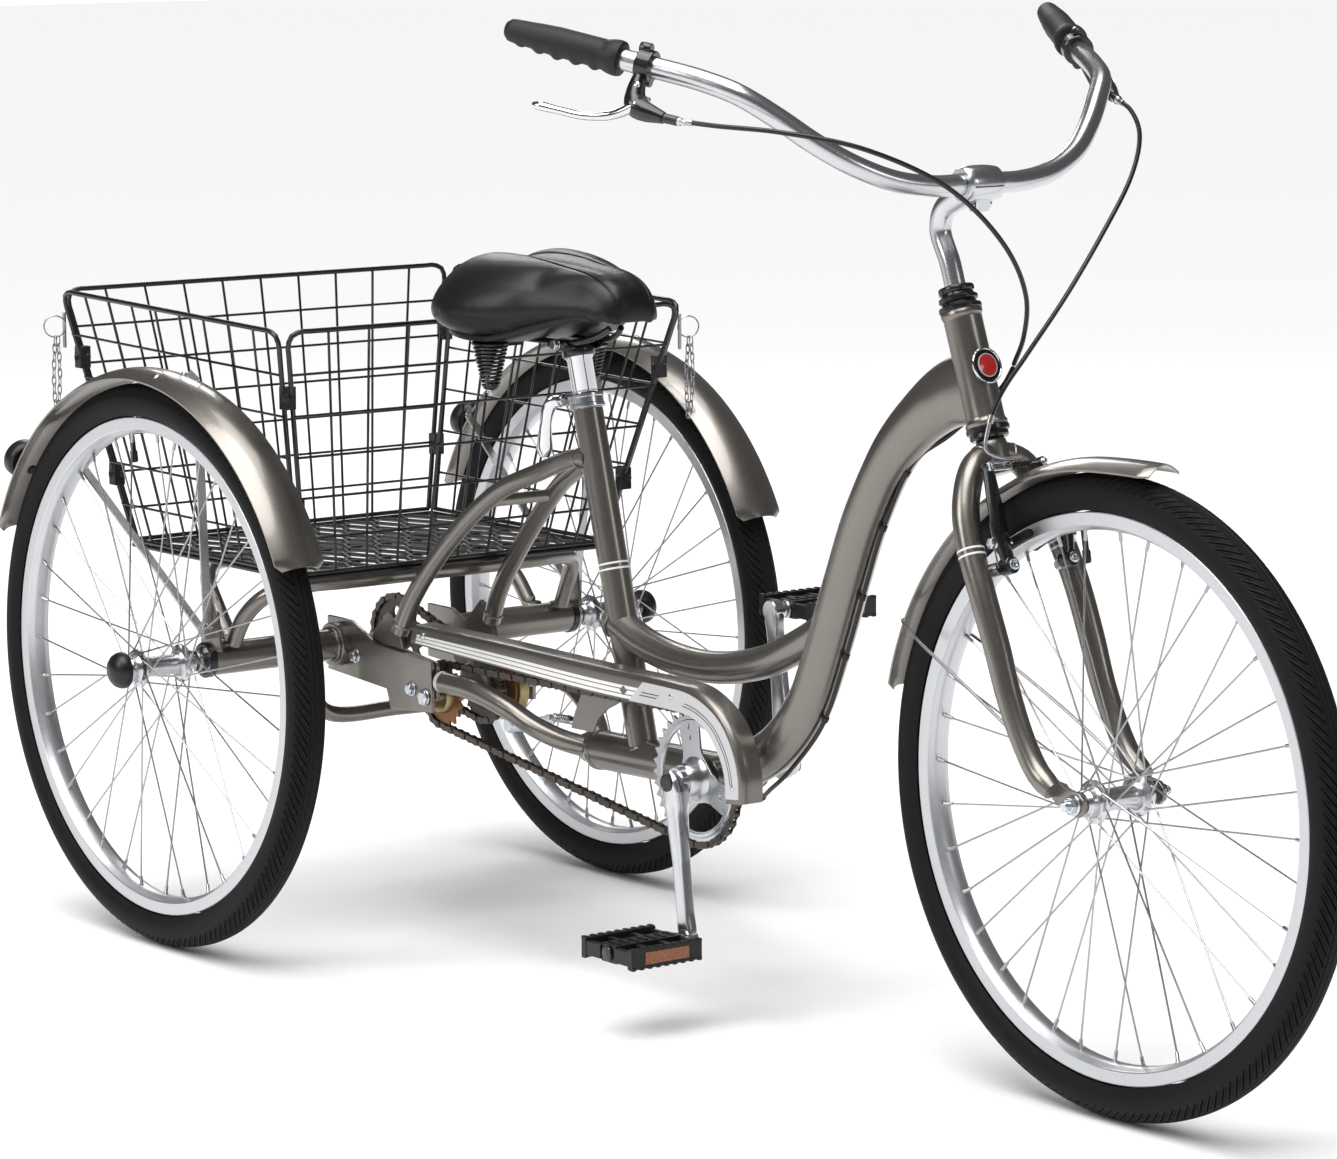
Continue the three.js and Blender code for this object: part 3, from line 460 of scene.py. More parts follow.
def tyre_shape():
    """A round tyre whose shoulders carry slanted sipes and small studs, cut between its columns."""
    columns = TREAD_STEP * TREAD_PARTS
    lean = math.radians(7)
    angles = [-BEAD_ANGLE, -120, -105, -90, -76, -68, -64, -56, -48, -40, -32, -24, -22, -15, -13, -6, -4]
    angles += [-a for a in reversed(angles)]
    turn = np.arange(columns) / columns * 2 * math.pi
    part = np.arange(columns) % TREAD_PARTS
    rings = []
    for angle in angles:
        side = abs(angle)
        radius = np.full(columns, float(TYRE_SECTION))
        if 22 < side < 66:
            radius -= np.where(part < 1, SIPE_DEPTH, 0.0)
            radius -= np.where((part == 3) & (side in (32, 48, 56)), STUD_GAP_DEPTH, 0.0)
        if side in (22, 13, 6):
            radius -= 0.2
        if side in (15, 4):
            radius -= GROOVE_DEPTH
        if side == 68:
            radius += 0.25
        across = math.radians(angle)
        around = turn + lean * min(side, 70) / 70
        reach = TYRE_R - TYRE_SECTION + radius * math.cos(across)
        rings.append(np.stack([reach * np.cos(around), radius * math.sin(across), reach * np.sin(around)],
                              axis=1))
    rings = [ring * at(1, 0.985, 1) for ring in rings]
    bore = TYRE_R - TYRE_SECTION + TYRE_SECTION * math.cos(math.radians(BEAD_ANGLE)) + 0.5
    inside = [rings[-1] * at(1, 0.9, 1), rings[0] * at(1, 0.9, 1)]
    for ring in inside:
        flat = np.linalg.norm(ring[:, [0, 2]], axis=1)[:, None]
        ring[:, [0, 2]] *= bore / flat
    return skin(rings + inside, cap=False, closed_path=True)


def rim_shape():
    """A hooked box section with a bright brake track on each side."""
    half = [(267.5, 0), (267.8, 5), (269, 8.5), (271.4, 11.6), (272.2, 13.6), (273.2, 14.3), (283.6, 14.9),
            (285.6, 15), (286.6, 14.4), (286.4, 13.2), (284, 12.4), (281, 12), (279.5, 8), (278, 0)]
    ring = half + [(r, -y) for r, y in reversed(half[1:-1])]
    return lathe(ring, at(0, 0, 0), SIDE, 144, loop=True)


def wheel_lacing():
    """Crossed spokes from the hub's flanges to their nipples."""
    spokes, nipples = [], []
    centre = at(0, 0, 0)
    for side in (-1, 1):
        for k in range(SPOKES_A_SIDE):
            at_rim = (k + (0.5 if side > 0 else 0)) * 360 / SPOKES_A_SIDE
            lead = 1 if k % 2 else -1
            inside = side * (FLANGE_Y + lead * 2.2)
            head = wheel_point(centre, FLANGE_R, at_rim + lead * 57, side * (FLANGE_Y - lead * 2.2))
            elbow = wheel_point(centre, FLANGE_R, at_rim + lead * 57, inside)
            nipple = wheel_point(centre, 257, at_rim, side * 3.6)
            seat = wheel_point(centre, 268.5, at_rim, side * 2)
            start = elbow + unit(nipple - elbow) * 2
            spokes.append(sweep([head, (head + elbow) / 2, elbow, start, nipple], 1.05, 8))
            spokes.append(lathe([(1, -0.9), (2.1, -0.2), (1.6, 1)], head, elbow - head, 10))
            nipples.append(lathe([(1.3, 0), (1.9, 0.8), (1.9, 9), (2.6, 10), (2.8, 12)], nipple,
                                 seat - nipple, 10))
    return joined(*spokes), joined(*nipples)


def hub_shell():
    """A turned hub barrel with two drilled-looking spoke flanges."""
    half = [(11.5, 0), (11.5, 15), (12.6, 21), (15, 25), (20.5, 27), (22, 27.6), (22, 30.6), (20.5, 31.2),
            (16.5, 32), (14.6, 35), (14, 41), (13, 42), (12.4, 45), (11.6, 46)]
    ring = [(r, -h) for r, h in reversed(half[1:])] + half
    holes = [lathe([(1.7, -0.4), (1.7, 0), (1.2, 0.3)],
                   wheel_point(at(0, 0, 0), FLANGE_R, i * 20, s * 31.3), s * SIDE, 10) for s in (-1, 1)
             for i in range(SPOKES_A_SIDE)]
    return joined(lathe(ring, at(0, 0, 0), SIDE, 56), *holes)


def wheels():
    """The three wheels, which are alike."""
    tyre, rim, (spokes, nipples) = tyre_shape(), rim_shape(), wheel_lacing()
    hub = hub_shell()
    for name, body, place in (("front", "front_wheel", FRONT_HUB), ("right", "right_wheel", RIGHT_HUB),
                              ("left", "axle", LEFT_HUB)):
        piece(f"{name}_tyre_tread", moved(tyre, place), TYRE, body, f"{name}_tyre", angle=50)
        piece(f"{name}_rim_hoop", moved(rim, place), RIM, body, f"{name}_rim", angle=30)
        piece(f"{name}_hub_shell", moved(hub, place), ALLOY, body, f"{name}_hub")
        piece(f"{name}_spokes", moved(spokes, place), STEEL, body)
        piece(f"{name}_nipples", moved(nipples, place), STEEL, body)
        valve = joined(rod(wheel_point(place, 269, VALVE_AT), wheel_point(place, 247, VALVE_AT), 3.2, 16,
                           0.6), lathe([(4.1, 0), (4.3, 1), (4.3, 11), (3.2, 13), (1.5, 13.4)],
                                       wheel_point(place, 248, VALVE_AT),
                                       wheel_point(at(0, 0, 0), -1, VALVE_AT), 18),)
        piece(f"{name}_valve", valve, PLASTIC, body)


wheels()

# ---------------------------------------------------------------- axles and what turns on them


def nut_stack(centre, side, washer=9.5, across=15, height=8):
    """A washer and a nut, facing one side."""
    axis = SIDE * side
    return joined(
        lathe([(washer, 0), (washer, 1.2), (washer - 0.6, 1.6), (0, 1.6)], centre, axis, 32),
        hexagon(centre + axis * 1.6, axis, across, height),
    )


def front_axle():
    """The front axle with its nuts, cones and threads."""
    parts = [rod(FRONT_HUB - SIDE * 71, FRONT_HUB + SIDE * 71, 4.8, 24, 0.8)]
    threads = []
    for side in (-1, 1):
        parts.append(nut_stack(FRONT_HUB + SIDE * side * 56.3, side, 10.5, 15, 6.8))
        parts.append(nut_stack(FRONT_HUB + SIDE * side * 46.8, side, 8, 14, 2))
        threads += [lathe([(4.85, -0.3), (5.15, 0), (4.85, 0.3)],
                          FRONT_HUB + SIDE * side * (66.5 + 0.9 * i), SIDE, 20) for i in range(5)]
    piece("front_axle_and_nuts", [*parts, *threads], ZINC, "steering", "front_axle",
          bevel=0.3)


TOOTH_TIP = 2.4
TOOTH_ROOT = 3.9


def tooth_outline(teeth, centre, phase=0.0):
    """Points round a roller chain sprocket, with a valley at the phase (degrees)."""
    pitch = CHAIN_PITCH / (2 * math.sin(math.pi / teeth))
    outline = []
    for i in range(teeth):
        for share, grow in ((0, -TOOTH_ROOT), (0.14, -TOOTH_ROOT + 0.5), (0.3, -0.4),
                            (0.42, TOOTH_TIP - 0.5), (0.5, TOOTH_TIP), (0.58, TOOTH_TIP - 0.5), (0.7, -0.4),
                            (0.86, -TOOTH_ROOT + 0.5)):
            turn = math.radians(phase) + (i + share) / teeth * 2 * math.pi
            outline.append((centre[0] + (pitch + grow) * math.cos(turn),
                            centre[2] + (pitch + grow) * math.sin(turn)))
    return outline


def disc_with_holes(outline, holes, low, high):
    """A flat plate with holes, filled between its outline and the holes' own outlines."""
    work = bmesh.new()
    edges = []
    for loop in (outline, *holes):
        corners = [work.verts.new((x, low, z)) for x, z in loop]
        edges += [work.edges.new((a, b)) for a, b in zip(corners, corners[1:] + corners[:1])]
    bmesh.ops.triangle_fill(work, edges=edges, use_beauty=True)
    made = bmesh.ops.extrude_face_region(work, geom=list(work.faces))
    lifted = [v for v in made["geom"] if isinstance(v, bmesh.types.BMVert)]
    bmesh.ops.translate(work, verts=lifted, vec=(0, high - low, 0))
    bmesh.ops.recalc_face_normals(work, faces=work.faces)
    work.verts.index_update()
    faces = [tuple(v.index for v in f.verts) for f in work.faces]
    shape = np.array([tuple(v.co) for v in work.verts]), faces
    work.free()
    return shape


def circle(centre, radius, count=32):
    """(x, z) points round a circle."""
    return [(centre[0] + radius * math.cos(i / count * 2 * math.pi),
             centre[2] + radius * math.sin(i / count * 2 * math.pi)) for i in range(count)]


def roller_places(rear, rear_teeth, front, front_teeth):
    """Where a chain's rollers sit, round both sprockets and along both straight runs, and the phases."""
    radius = [CHAIN_PITCH / (2 * math.sin(math.pi / t)) for t in (rear_teeth, front_teeth)]
    span = np.linalg.norm(front - rear)
    slope = math.atan2(front[2] - rear[2], front[0] - rear[0])
    lean = math.acos((radius[0] - radius[1]) / span)
    arcs = []
    for centre, r, teeth, middle, half in ((rear, radius[0], rear_teeth, slope + math.pi, math.pi - lean),
                                           (front, radius[1], front_teeth, slope, lean)):
        step = 2 * math.pi / teeth
        reach = int(half / step)
        arcs.append([at(centre[0] + r * math.cos(middle + i * step), 0,
                        centre[2] + r * math.sin(middle + i * step)) for i in range(-reach, reach + 1)])
    rear_arc, front_arc = arcs
    places = []
    for arc, other in ((rear_arc, front_arc), (front_arc, rear_arc)):
        places += arc
        gap = other[0] - arc[-1]
        count = max(2, round(np.linalg.norm(gap) / CHAIN_PITCH))
        if arc is front_arc and (len(places) + count - 1) % 2:
            count += 1
        places += [arc[-1] + gap * i / count for i in range(1, count)]
    return places, math.degrees(slope + math.pi), math.degrees(slope)


PLATE_HALF = 0.5


def link_plate(a, b, y):
    """One side plate of a chain link: two round ends and a waist."""
    way = unit(b - a)
    over = at(-way[2], 0, way[0])
    outline = []
    for centre, sign in ((b, 1), (a, -1)):
        for turn in np.linspace(-math.pi / 2, math.pi / 2, 7):
            p = centre + sign * (way * math.cos(turn) + over * math.sin(turn)) * 4.1
            outline.append((p[0], p[2]))
        waist = (a + b) / 2 + sign * over * 3.0
        outline.append((waist[0], waist[2]))
    return prism(outline, y - PLATE_HALF, y + PLATE_HALF)


def chain(name, rear, rear_teeth, front, front_teeth, y):
    """One chain, named as the CAD node that it stands for. Returns the phase of each sprocket."""
    places, rear_phase, front_phase = roller_places(rear, rear_teeth, front, front_teeth)
    plates, rollers = [], []
    for i, (a, b) in enumerate(zip(places, places[1:] + places[:1])):
        for side in (-1, 1):
            plates.append(link_plate(a, b, y + side * (3.9 if i % 2 else 2.8)))
        rollers.append(rod(a + SIDE * (y - 2.2), a + SIDE * (y + 2.2), 3.9, 14, 0.3))
        rollers.append(rod(a + SIDE * (y - 4.7), a + SIDE * (y + 4.7), 1.8, 10, 0.3))
    piece(f"{name}_plates", plates, CHAIN, "frame", name)
    piece(f"{name}_rollers", rollers, CHAIN, "frame")
    return rear_phase, front_phase


CRANK_CHAIN_Y = -48
AXLE_CHAIN_Y = 8
JACK_TEETH = 18
RING_TEETH = 36
AXLE_TEETH = 24
JACK_PHASE, RING_PHASE = chain("crank_chain", JACK, JACK_TEETH, BB, RING_TEETH, CRANK_CHAIN_Y)
AXLE_PHASE, JACK_AXLE_PHASE = chain("axle_chain", REAR_AXLE, AXLE_TEETH, JACK, JACK_TEETH, AXLE_CHAIN_Y)


def rear_axle():
    """The live axle, its sprocket, bearings, spacers and end caps."""
    axle = rod(REAR_AXLE - SIDE * 368, REAR_AXLE + SIDE * 368, 8, 32, 1)
    piece("rear_axle_bar", axle, STEEL, "axle", "rear_axle")
    holes = [circle(REAR_AXLE, 12, 40)]
    holes += [circle(wheel_point(REAR_AXLE, 30, 60 * i + 30), 7, 20) for i in range(6)]
    cog = disc_with_holes(tooth_outline(AXLE_TEETH, REAR_AXLE, AXLE_PHASE), holes, AXLE_CHAIN_Y - 1.5,
                          AXLE_CHAIN_Y + 1.5)
    carrier = lathe([(8, -12), (15, -12), (16, -11), (16, 11), (15, 12), (8, 12)],
                    REAR_AXLE + SIDE * AXLE_CHAIN_Y, SIDE, 40, loop=True)
    piece("axle_sprocket", cog, SPROCKET, "axle", bevel=0.35)
    piece("axle_sprocket_carrier", carrier, SPROCKET, "axle")
    for name, side in SIDES:
        end = REAR_AXLE + SIDE * side * 367.5
        dome = [(17.5, 0), (20.6, 0.8), (21, 3), (20.6, 7), (18.6, 11.5), (14.6, 15.4), (9, 18), (3, 18.9),
                (0, 19)]
        piece(f"axle_cap_{name}", lathe(dome, end, SIDE * side, 56), PLASTIC, "axle")
        race = lathe([(8.2, 0), (15.6, 0), (15.6, 12), (8.2, 12)], REAR_AXLE + SIDE * side * 245.5,
                     SIDE * side, 40, loop=True)
        piece(f"axle_bearing_{name}", race, STEEL, "axle", bevel=0.6)
        collar = lathe([(8.2, 0), (11.6, 0), (12, 0.6), (12, 7.4), (11.6, 8), (8.2, 8)],
                       REAR_AXLE + SIDE * side * (266 if side < 0 else 265), SIDE * side, 36, loop=True)
        piece(f"axle_spacer_{name}", collar, STEEL, "axle")


def jackshaft():
    """The short shaft with two sprockets and the brake drum."""
    shaft = rod(JACK - SIDE * 80, JACK + SIDE * 80, 6.9, 28, 1)
    nuts = [nut_stack(JACK + SIDE * s * 74.6, s, 10, 17, 3.2) for s in (-1, 1)]
    piece("jackshaft_bar", [shaft, *nuts], ZINC, "jackshaft", "jackshaft", bevel=0.3)
    for name, y, phase, finish_of in (("drive", CRANK_CHAIN_Y, JACK_PHASE, DRUM),
                                      ("final", AXLE_CHAIN_Y, JACK_AXLE_PHASE, SPROCKET)):
        cog = disc_with_holes(tooth_outline(JACK_TEETH, JACK, phase), [circle(JACK, 7, 28)], y - 1.4,
                              y + 1.4)
        hub = lathe([(7, -9), (19, -9), (20, -8), (22, -1), (22, 1), (20, 8), (19, 9), (7, 9)],
                    JACK + SIDE * y, SIDE, 44, loop=True)
        piece(f"jackshaft_{name}_sprocket", cog, finish_of, "jackshaft", bevel=0.35)
        piece(f"jackshaft_{name}_carrier", hub, GOLD_ZINC if name == "drive" else SPROCKET, "jackshaft")
    drum = [(7, 29), (30, 29), (33.5, 31), (34, 33), (34, 48), (33, 50), (30, 50.6), (29, 46), (7, 45)]
    piece("brake_drum_turned", lathe(drum, JACK, SIDE, 64, loop=True), DRUM, "jackshaft")


front_axle()
rear_axle()
jackshaft()

# ---------------------------------------------------------------- main frame
SEAT_TOP = at(394, 0, 633)
SEAT_DOWN = unit(at(89, 0, -328))
SEAT_TUBE_R = 17
STAY_R = 12
CARRIER_Z = 417
CARRIER_R = 9.5
RAIL_R = 7
PLATE_THICK = 5
HOUSING_END = 262


def seat(down):
    """A point this far down the seat tube from its top."""
    return SEAT_TOP + SEAT_DOWN * down


def weld(centre, axis, radius, thick=2.2):
    """A stacked bead round a tube where it meets another."""
    across, over = basis(axis)
    turn = np.linspace(0, 2 * math.pi, 96, endpoint=False)[:, None]
    reach = radius * (1 + 0.012 * np.sin(turn * 30))
    line = centre + reach * np.cos(turn) * across + reach * np.sin(turn) * over
    return sweep(line, thick, 8, loop=True)


def painted(name, shape, replaces=(), body="frame", bevel=0.0):
    """A piece in the frame colour."""
    return piece(name, shape, PAINT, body, replaces, bevel)


def stripe_pair(name, place, axis, radius, body):
    """Two thin white rings round a tube."""
    axis = unit(axis)
    rings = [lathe([(radius + 0.05, -1.1), (radius + 0.22, -1.0), (radius + 0.22, 1.0),
                    (radius + 0.05, 1.1)], place + axis * gap, axis, 64) for gap in (-3.2, 3.2)]
    rings = [(r[0], r[1][:-2]) for r in rings]
    piece(name, rings, WHITE, body)


DOWN = [at(1059, 0, 717), at(1012, 0, 703), at(937, 0, 646), at(885, 0, 570), at(853, 0, 500),
        at(822, 0, 425), at(786, 0, 352), at(735, 0, 300), at(664, 0, 263)]
MID = [at(463, 0, 394), at(500, 0, 381), at(560, 0, 371), at(632, 0, 372), at(715, 0, 390), at(790, 0, 424),
       at(824, 0, 444)]
CHAIN_STAY = [at(400, -8, 251), at(374, -27, 259), at(345, -42, 271), at(309, -53, 288), at(262, -61, 301),
              at(196, -65.5, 305)]
SEAT_STAY = [at(405, -9, 580), at(384, -14, 578), at(339, -28, 559), at(281, -43, 532), at(201, -56, 467),
             at(135, -62, 394), at(112, -65, 352)]
DROPOUT = [(60, 345), (92, 375), (112, 362), (122, 334), (190, 326), (190, 284), (130, 270), (60, 300)]


def main_frame():
    """The tubes between the head and the rear dropouts, their welds and the head badge."""
    foot = steer(-HEAD_LENGTH)
    head = [(16.2, 0), (21.6, 0), (22, 0.8), (22, 4), (20.4, 6), (20, 9), (20, HEAD_LENGTH - 9),
            (20.4, HEAD_LENGTH - 6), (21.6, HEAD_LENGTH - 4.5), (21.6, HEAD_LENGTH - 0.6),
            (21.2, HEAD_LENGTH), (16.2, HEAD_LENGTH)]
    painted("head_tube_shell", lathe(head, foot, UP, 64, loop=True), "head_tube")
    cups = [lathe([(14.8, 0.4), (21.6, 0.4), (22.6, 1.4), (22.6, 5.5), (20, 7), (20.4, 11), (19, 13),
                   (14.8, 13)], foot, -UP, 48, loop=True)]
    piece("lower_headset_cup", cups, BLACK, "frame", "headset_lower")
    down = smooth(DOWN, 5)
    share = np.linspace(0, 1, len(down) - 2)
    tall = np.interp(share, [0, 0.04, 0.16, 0.3, 1], [37.5, 36.5, 29.5, 25, 25])
    side = np.interp(share, [0, 0.03, 0.1, 0.3, 1], [17, 19, 24, 25, 25])
    painted("down_tube_shell", sweep(down[:-2], tall, 48, wide=side / tall), "down_tube")
    painted("seat_tube_shell", pipe(seat(388), seat(0), SEAT_TUBE_R, 14.6, 48), "seat_tube")
    painted("mid_tube_shell", sweep(smooth([at(440, 0, 404), *MID, at(838, 0, 452)], 5), 18, 36),
            "mid_tube")
    ring = [(17, -34), (20.4, -34), (21, -33.4), (21, 33.4), (20.4, 34), (17, 34)]
    painted("bracket_shell", lathe(ring, BB, SIDE, 56, loop=True), "bottom_bracket")
    boom_rear, boom_front = at(413, 0, 250), at(640, 0, 256)
    painted("lower_boom", rod(boom_rear, boom_front, 22, 48, 0.6))
    painted("boom_end_band", lathe([(22.2, 0), (23.2, 0.8), (23.2, 5.2), (22.2, 6)], boom_rear,
                                   boom_front - boom_rear, 56))
    cups = [lathe([(9.2, 0), (16.6, 0), (20, 1), (20, 3.4), (17, 4.4), (9.2, 4.4)], BB + SIDE * s * 34.2,
                  SIDE * s, 40, loop=True) for s in (-1, 1)]
    piece("bracket_cups", cups, SPROCKET, "frame")
    stay = smooth(CHAIN_STAY, 5)
    bulb = lathe([(0, -22), (9, -20), (14.5, -14), (17.5, -5), (18.5, 4), (20.5, 10), (22, 16)],
                 at(398, 0, 250), at(1, 0, 0), 40)
    painted("chain_stay_tubes", [sweep(stay, STAY_R, 28), sweep(mirrored(stay), STAY_R, 28), bulb],
            "chain_stays")
    end = stay[-1]
    mouths = []
    for s in (1, -1):
        place = end * at(1, s, 1)
        way = unit((stay[-1] - stay[-3]) * at(1, s, 1))
        mouths.append(lathe([(9.8, -6), (9.8, 0.5), (12, 0.5), (12.3, 0), (12.3, -5)], place, way, 36,
                            loop=True))
    piece("chain_stay_end_rims", mouths, SILVER, "frame")
    # painted shade: a thin dark disc just inside each open chain-stay end stands in for the shade in the
    # hollow tube
    end_shades = [rod(end * at(1, s, 1) + at(1, 0, 0), end * at(1, s, 1) + at(-0.7, 0, 0), 9.7, 24)
             for s in (1, -1)]
    piece("chain_stay_end_plugs", end_shades, HOLLOW_SHADE, "frame")
    high = smooth(SEAT_STAY, 5)
    plates = [prism(DROPOUT, y, y + PLATE_THICK) for y in (-68, 63)]
    bridge = rod(at(262, -46, 519), at(262, 46, 519), 7, 24)
    painted("seat_stay_tubes", [sweep(high, 10.5, 24), sweep(mirrored(high), 10.5, 24), bridge],
            "seat_stays")
    painted("rear_dropouts", plates, bevel=0.6)
    beads = [weld(seat(383), SEAT_DOWN, 17.6, 2.4), weld(at(448, 0, 400), at(-15, 0, 6), 18.6, 2.4),
             weld(at(820, 0, 441), at(34, 0, 20), 18.4, 2.0),
             weld(at(396, -12, 579), at(1, -0.3, 0), 10.6, 1.6),
             weld(at(396, 12, 579), at(1, 0.3, 0), 10.6, 1.6)]
    beads += [weld(at(262, s * 43.5, 519), SIDE, 7.4, 1.3) for s in (-1, 1)]
    beads += [weld(at(117, s * 64.6, 362), at(-23, -s * 3, -42), 10.8, 1.5) for s in (-1, 1)]
    painted("frame_welds", beads)
    stripe_pair("seat_tube_stripes", seat(178), SEAT_DOWN, SEAT_TUBE_R, "frame")
    badge = steer(-62, 20.1)
    piece("head_badge_rim", lathe([(16, -0.6), (18.6, -0.6), (18.8, 1.2), (18.2, 1.9), (17.2, 1.9),
                                   (16.4, 1.2)], badge, AHEAD, 56, loop=True), CHROME, "frame")
    piece("head_badge_face", lathe([(16.6, -1), (16.6, 1), (11.4, 1.2), (0, 1.3)], badge, AHEAD, 48), BLACK,
          "frame")
    piece("head_badge_centre", lathe([(11.6, 0.9), (11.6, 1.7), (11, 2.0), (0, 2.2)], badge, AHEAD, 40),
          RED, "frame")
    piece("head_badge_ring", lathe([(11.4, 1.0), (12.4, 1.0), (12.4, 1.9), (11.4, 2.1)], badge, AHEAD, 48,
                                   loop=True), SILVER, "frame")


def axle_carrier():
    """The two axle tubes, with the plates that bolt them to the frame."""
    outline = [(-26, 356), (24, 356), (74, 334), (188, 328), (188, 268), (104, 262), (96, 284), (-26, 292)]
    for name, s in SIDES:
        low = min(s * 69, s * 74)
        plate = prism(outline, low, low + PLATE_THICK)
        sleeve = pipe(REAR_AXLE + SIDE * s * 70, REAR_AXLE + SIDE * s * HOUSING_END, 19, 16.2, 48)
        collar = pipe(REAR_AXLE + SIDE * s * 70, REAR_AXLE + SIDE * s * 87, 26, 16.4, 56, 1.2)
        tab = prism([(-14, 338), (30, 338), (24, 382), (22, 384), (-2, 384), (-4, 382)],
                    min(s * 254, s * 258), max(s * 254, s * 258))
        painted(f"axle_tube_{name}", [sleeve, collar], f"axle_housing_{name}")
        painted(f"axle_plate_{name}", [plate, tab], bevel=0.7)
        painted(f"axle_welds_{name}", [weld(REAR_AXLE + SIDE * s * 88, SIDE, 19.6, 2.0),
                                             weld(at(8, s * 256, 342.4), SIDE, 6, 1.2)])
        bolts = [bolt(at(34, s * 74.2, 315), SIDE * s, 7.4), bolt(at(148, s * 74.2, 291), SIDE * s, 7.4)]
        inner = [bolt(at(34, s * 68.8, 315), SIDE * -s, 6), bolt(at(10, s * 258.2, 366), SIDE * s, 4.2)]
        piece(f"axle_bolts_{name}", [*bolts, *inner], ZINC, "frame", bevel=0.35)
        lip = lathe([(16.4, -6), (16.4, 0.6), (19.6, 0.6), (20.6, 0), (20.6, -7), (19.2, -7.6), (19.2, -6)],
                    REAR_AXLE + SIDE * s * HOUSING_END, SIDE * s, 48, loop=True)
        piece(f"axle_tube_cap_{name}", lip, BLACK, "frame")


def arched(half, step):
    """A carrier tube through half of its points, which end at the middle line, and their mirror image."""
    return sweep(smooth([*half, *reversed(mirrored(half[:-1]))], step), CARRIER_R, 24)


def cargo_rack():
    """The tubes that carry the basket, and the brace below the axle."""
    front = [at(20, -234, 345), at(40, -230, 378), at(66, -216, 404), at(92, -180, 416),
             at(100, -130, CARRIER_Z), at(100, 0, CARRIER_Z)]
    rear = [at(-20, -214, 345), at(-48, -212, 376), at(-86, -200, 402), at(-122, -168, 415),
            at(-132, -120, CARRIER_Z), at(-132, 0, CARRIER_Z)]
    rails = [rod(at(-132, y, CARRIER_Z), at(100, y, CARRIER_Z), RAIL_R, 24) for y in (-95, 95)]
    painted("cargo_rack_hoops", [arched(front, 6), arched(rear, 6), *rails], "cargo_carrier")
    brace = [at(0, -112, 318), at(0, -110, 280), at(0, -104, 254), at(0, -84, 242), at(0, 0, 240)]
    painted("lower_brace_loop", arched(brace, 5), "lower_brace")
    feet = [weld(at(x, s * y, 345), at(0, 0.1 * s, 1), 10, 1.6) for s in (-1, 1) for x,
            y in ((14, 235), (-14, 214.6))]
    feet += [weld(at(0, s * 111.6, 305), SKY, 10, 1.6) for s in (-1, 1)]
    feet += [weld(at(x, y, CARRIER_Z), at(1, 0, 0), 7.4, 1.3) for y in (-95, 95) for x in (-123, 91)]
    painted("cargo_rack_welds", feet)


main_frame()
axle_carrier()
cargo_rack()

# ---------------------------------------------------------------- fenders
FENDER_R = 343
FENDER_THICK = 1.5
FENDER_CROWN = 11
FENDER_CORNER = 9.0
REFLECTOR_AT = 144.5
STAYS_AT = (138, 84)


def fender_sheet(hub, start, end, wide, radius=FENDER_R, flare=None, waist=None):
    """A thin arched strip over a wheel with rolled edges and rounded corners at its ends."""
    half = wide / 2
    across = np.concatenate([[-1.0, -0.985, -0.95], np.linspace(-0.88, 0.88, 19), [0.95, 0.985, 1.0]])
    steps = int((end - start) / 1.25)
    rings = []
    for i in range(steps + 1):
        share = i / steps
        degrees = start + (end - start) * share
        lift = flare(share) if flare else 0.0
        from_end = min(share, 1 - share) * math.radians(end - start) * radius
        narrow = 1.0
        if from_end < FENDER_CORNER:
            inset = FENDER_CORNER - math.sqrt(max(0.0, FENDER_CORNER ** 2
                                                  - (FENDER_CORNER - from_end) ** 2))
            narrow = 1 - inset / half * 0.9
        rows = []
        for side in (1, -1):
            order = across if side > 0 else across[::-1]
            for w in order:
                drop = -FENDER_CROWN * w * w
                rolled = 1.0 if abs(w) > 0.94 else 0.0
                r = radius + lift + drop - (0 if side > 0 else FENDER_THICK) - (rolled * 0.5 if side < 0
                        else 0)
                y = hub[1] + w * half * narrow * (1 if side > 0 else 0.985) * (waist(degrees) if waist
                        else 1)
                rows.append(wheel_point(hub, r, degrees, y))
        rings.append(np.array(rows))
    return skin(rings)


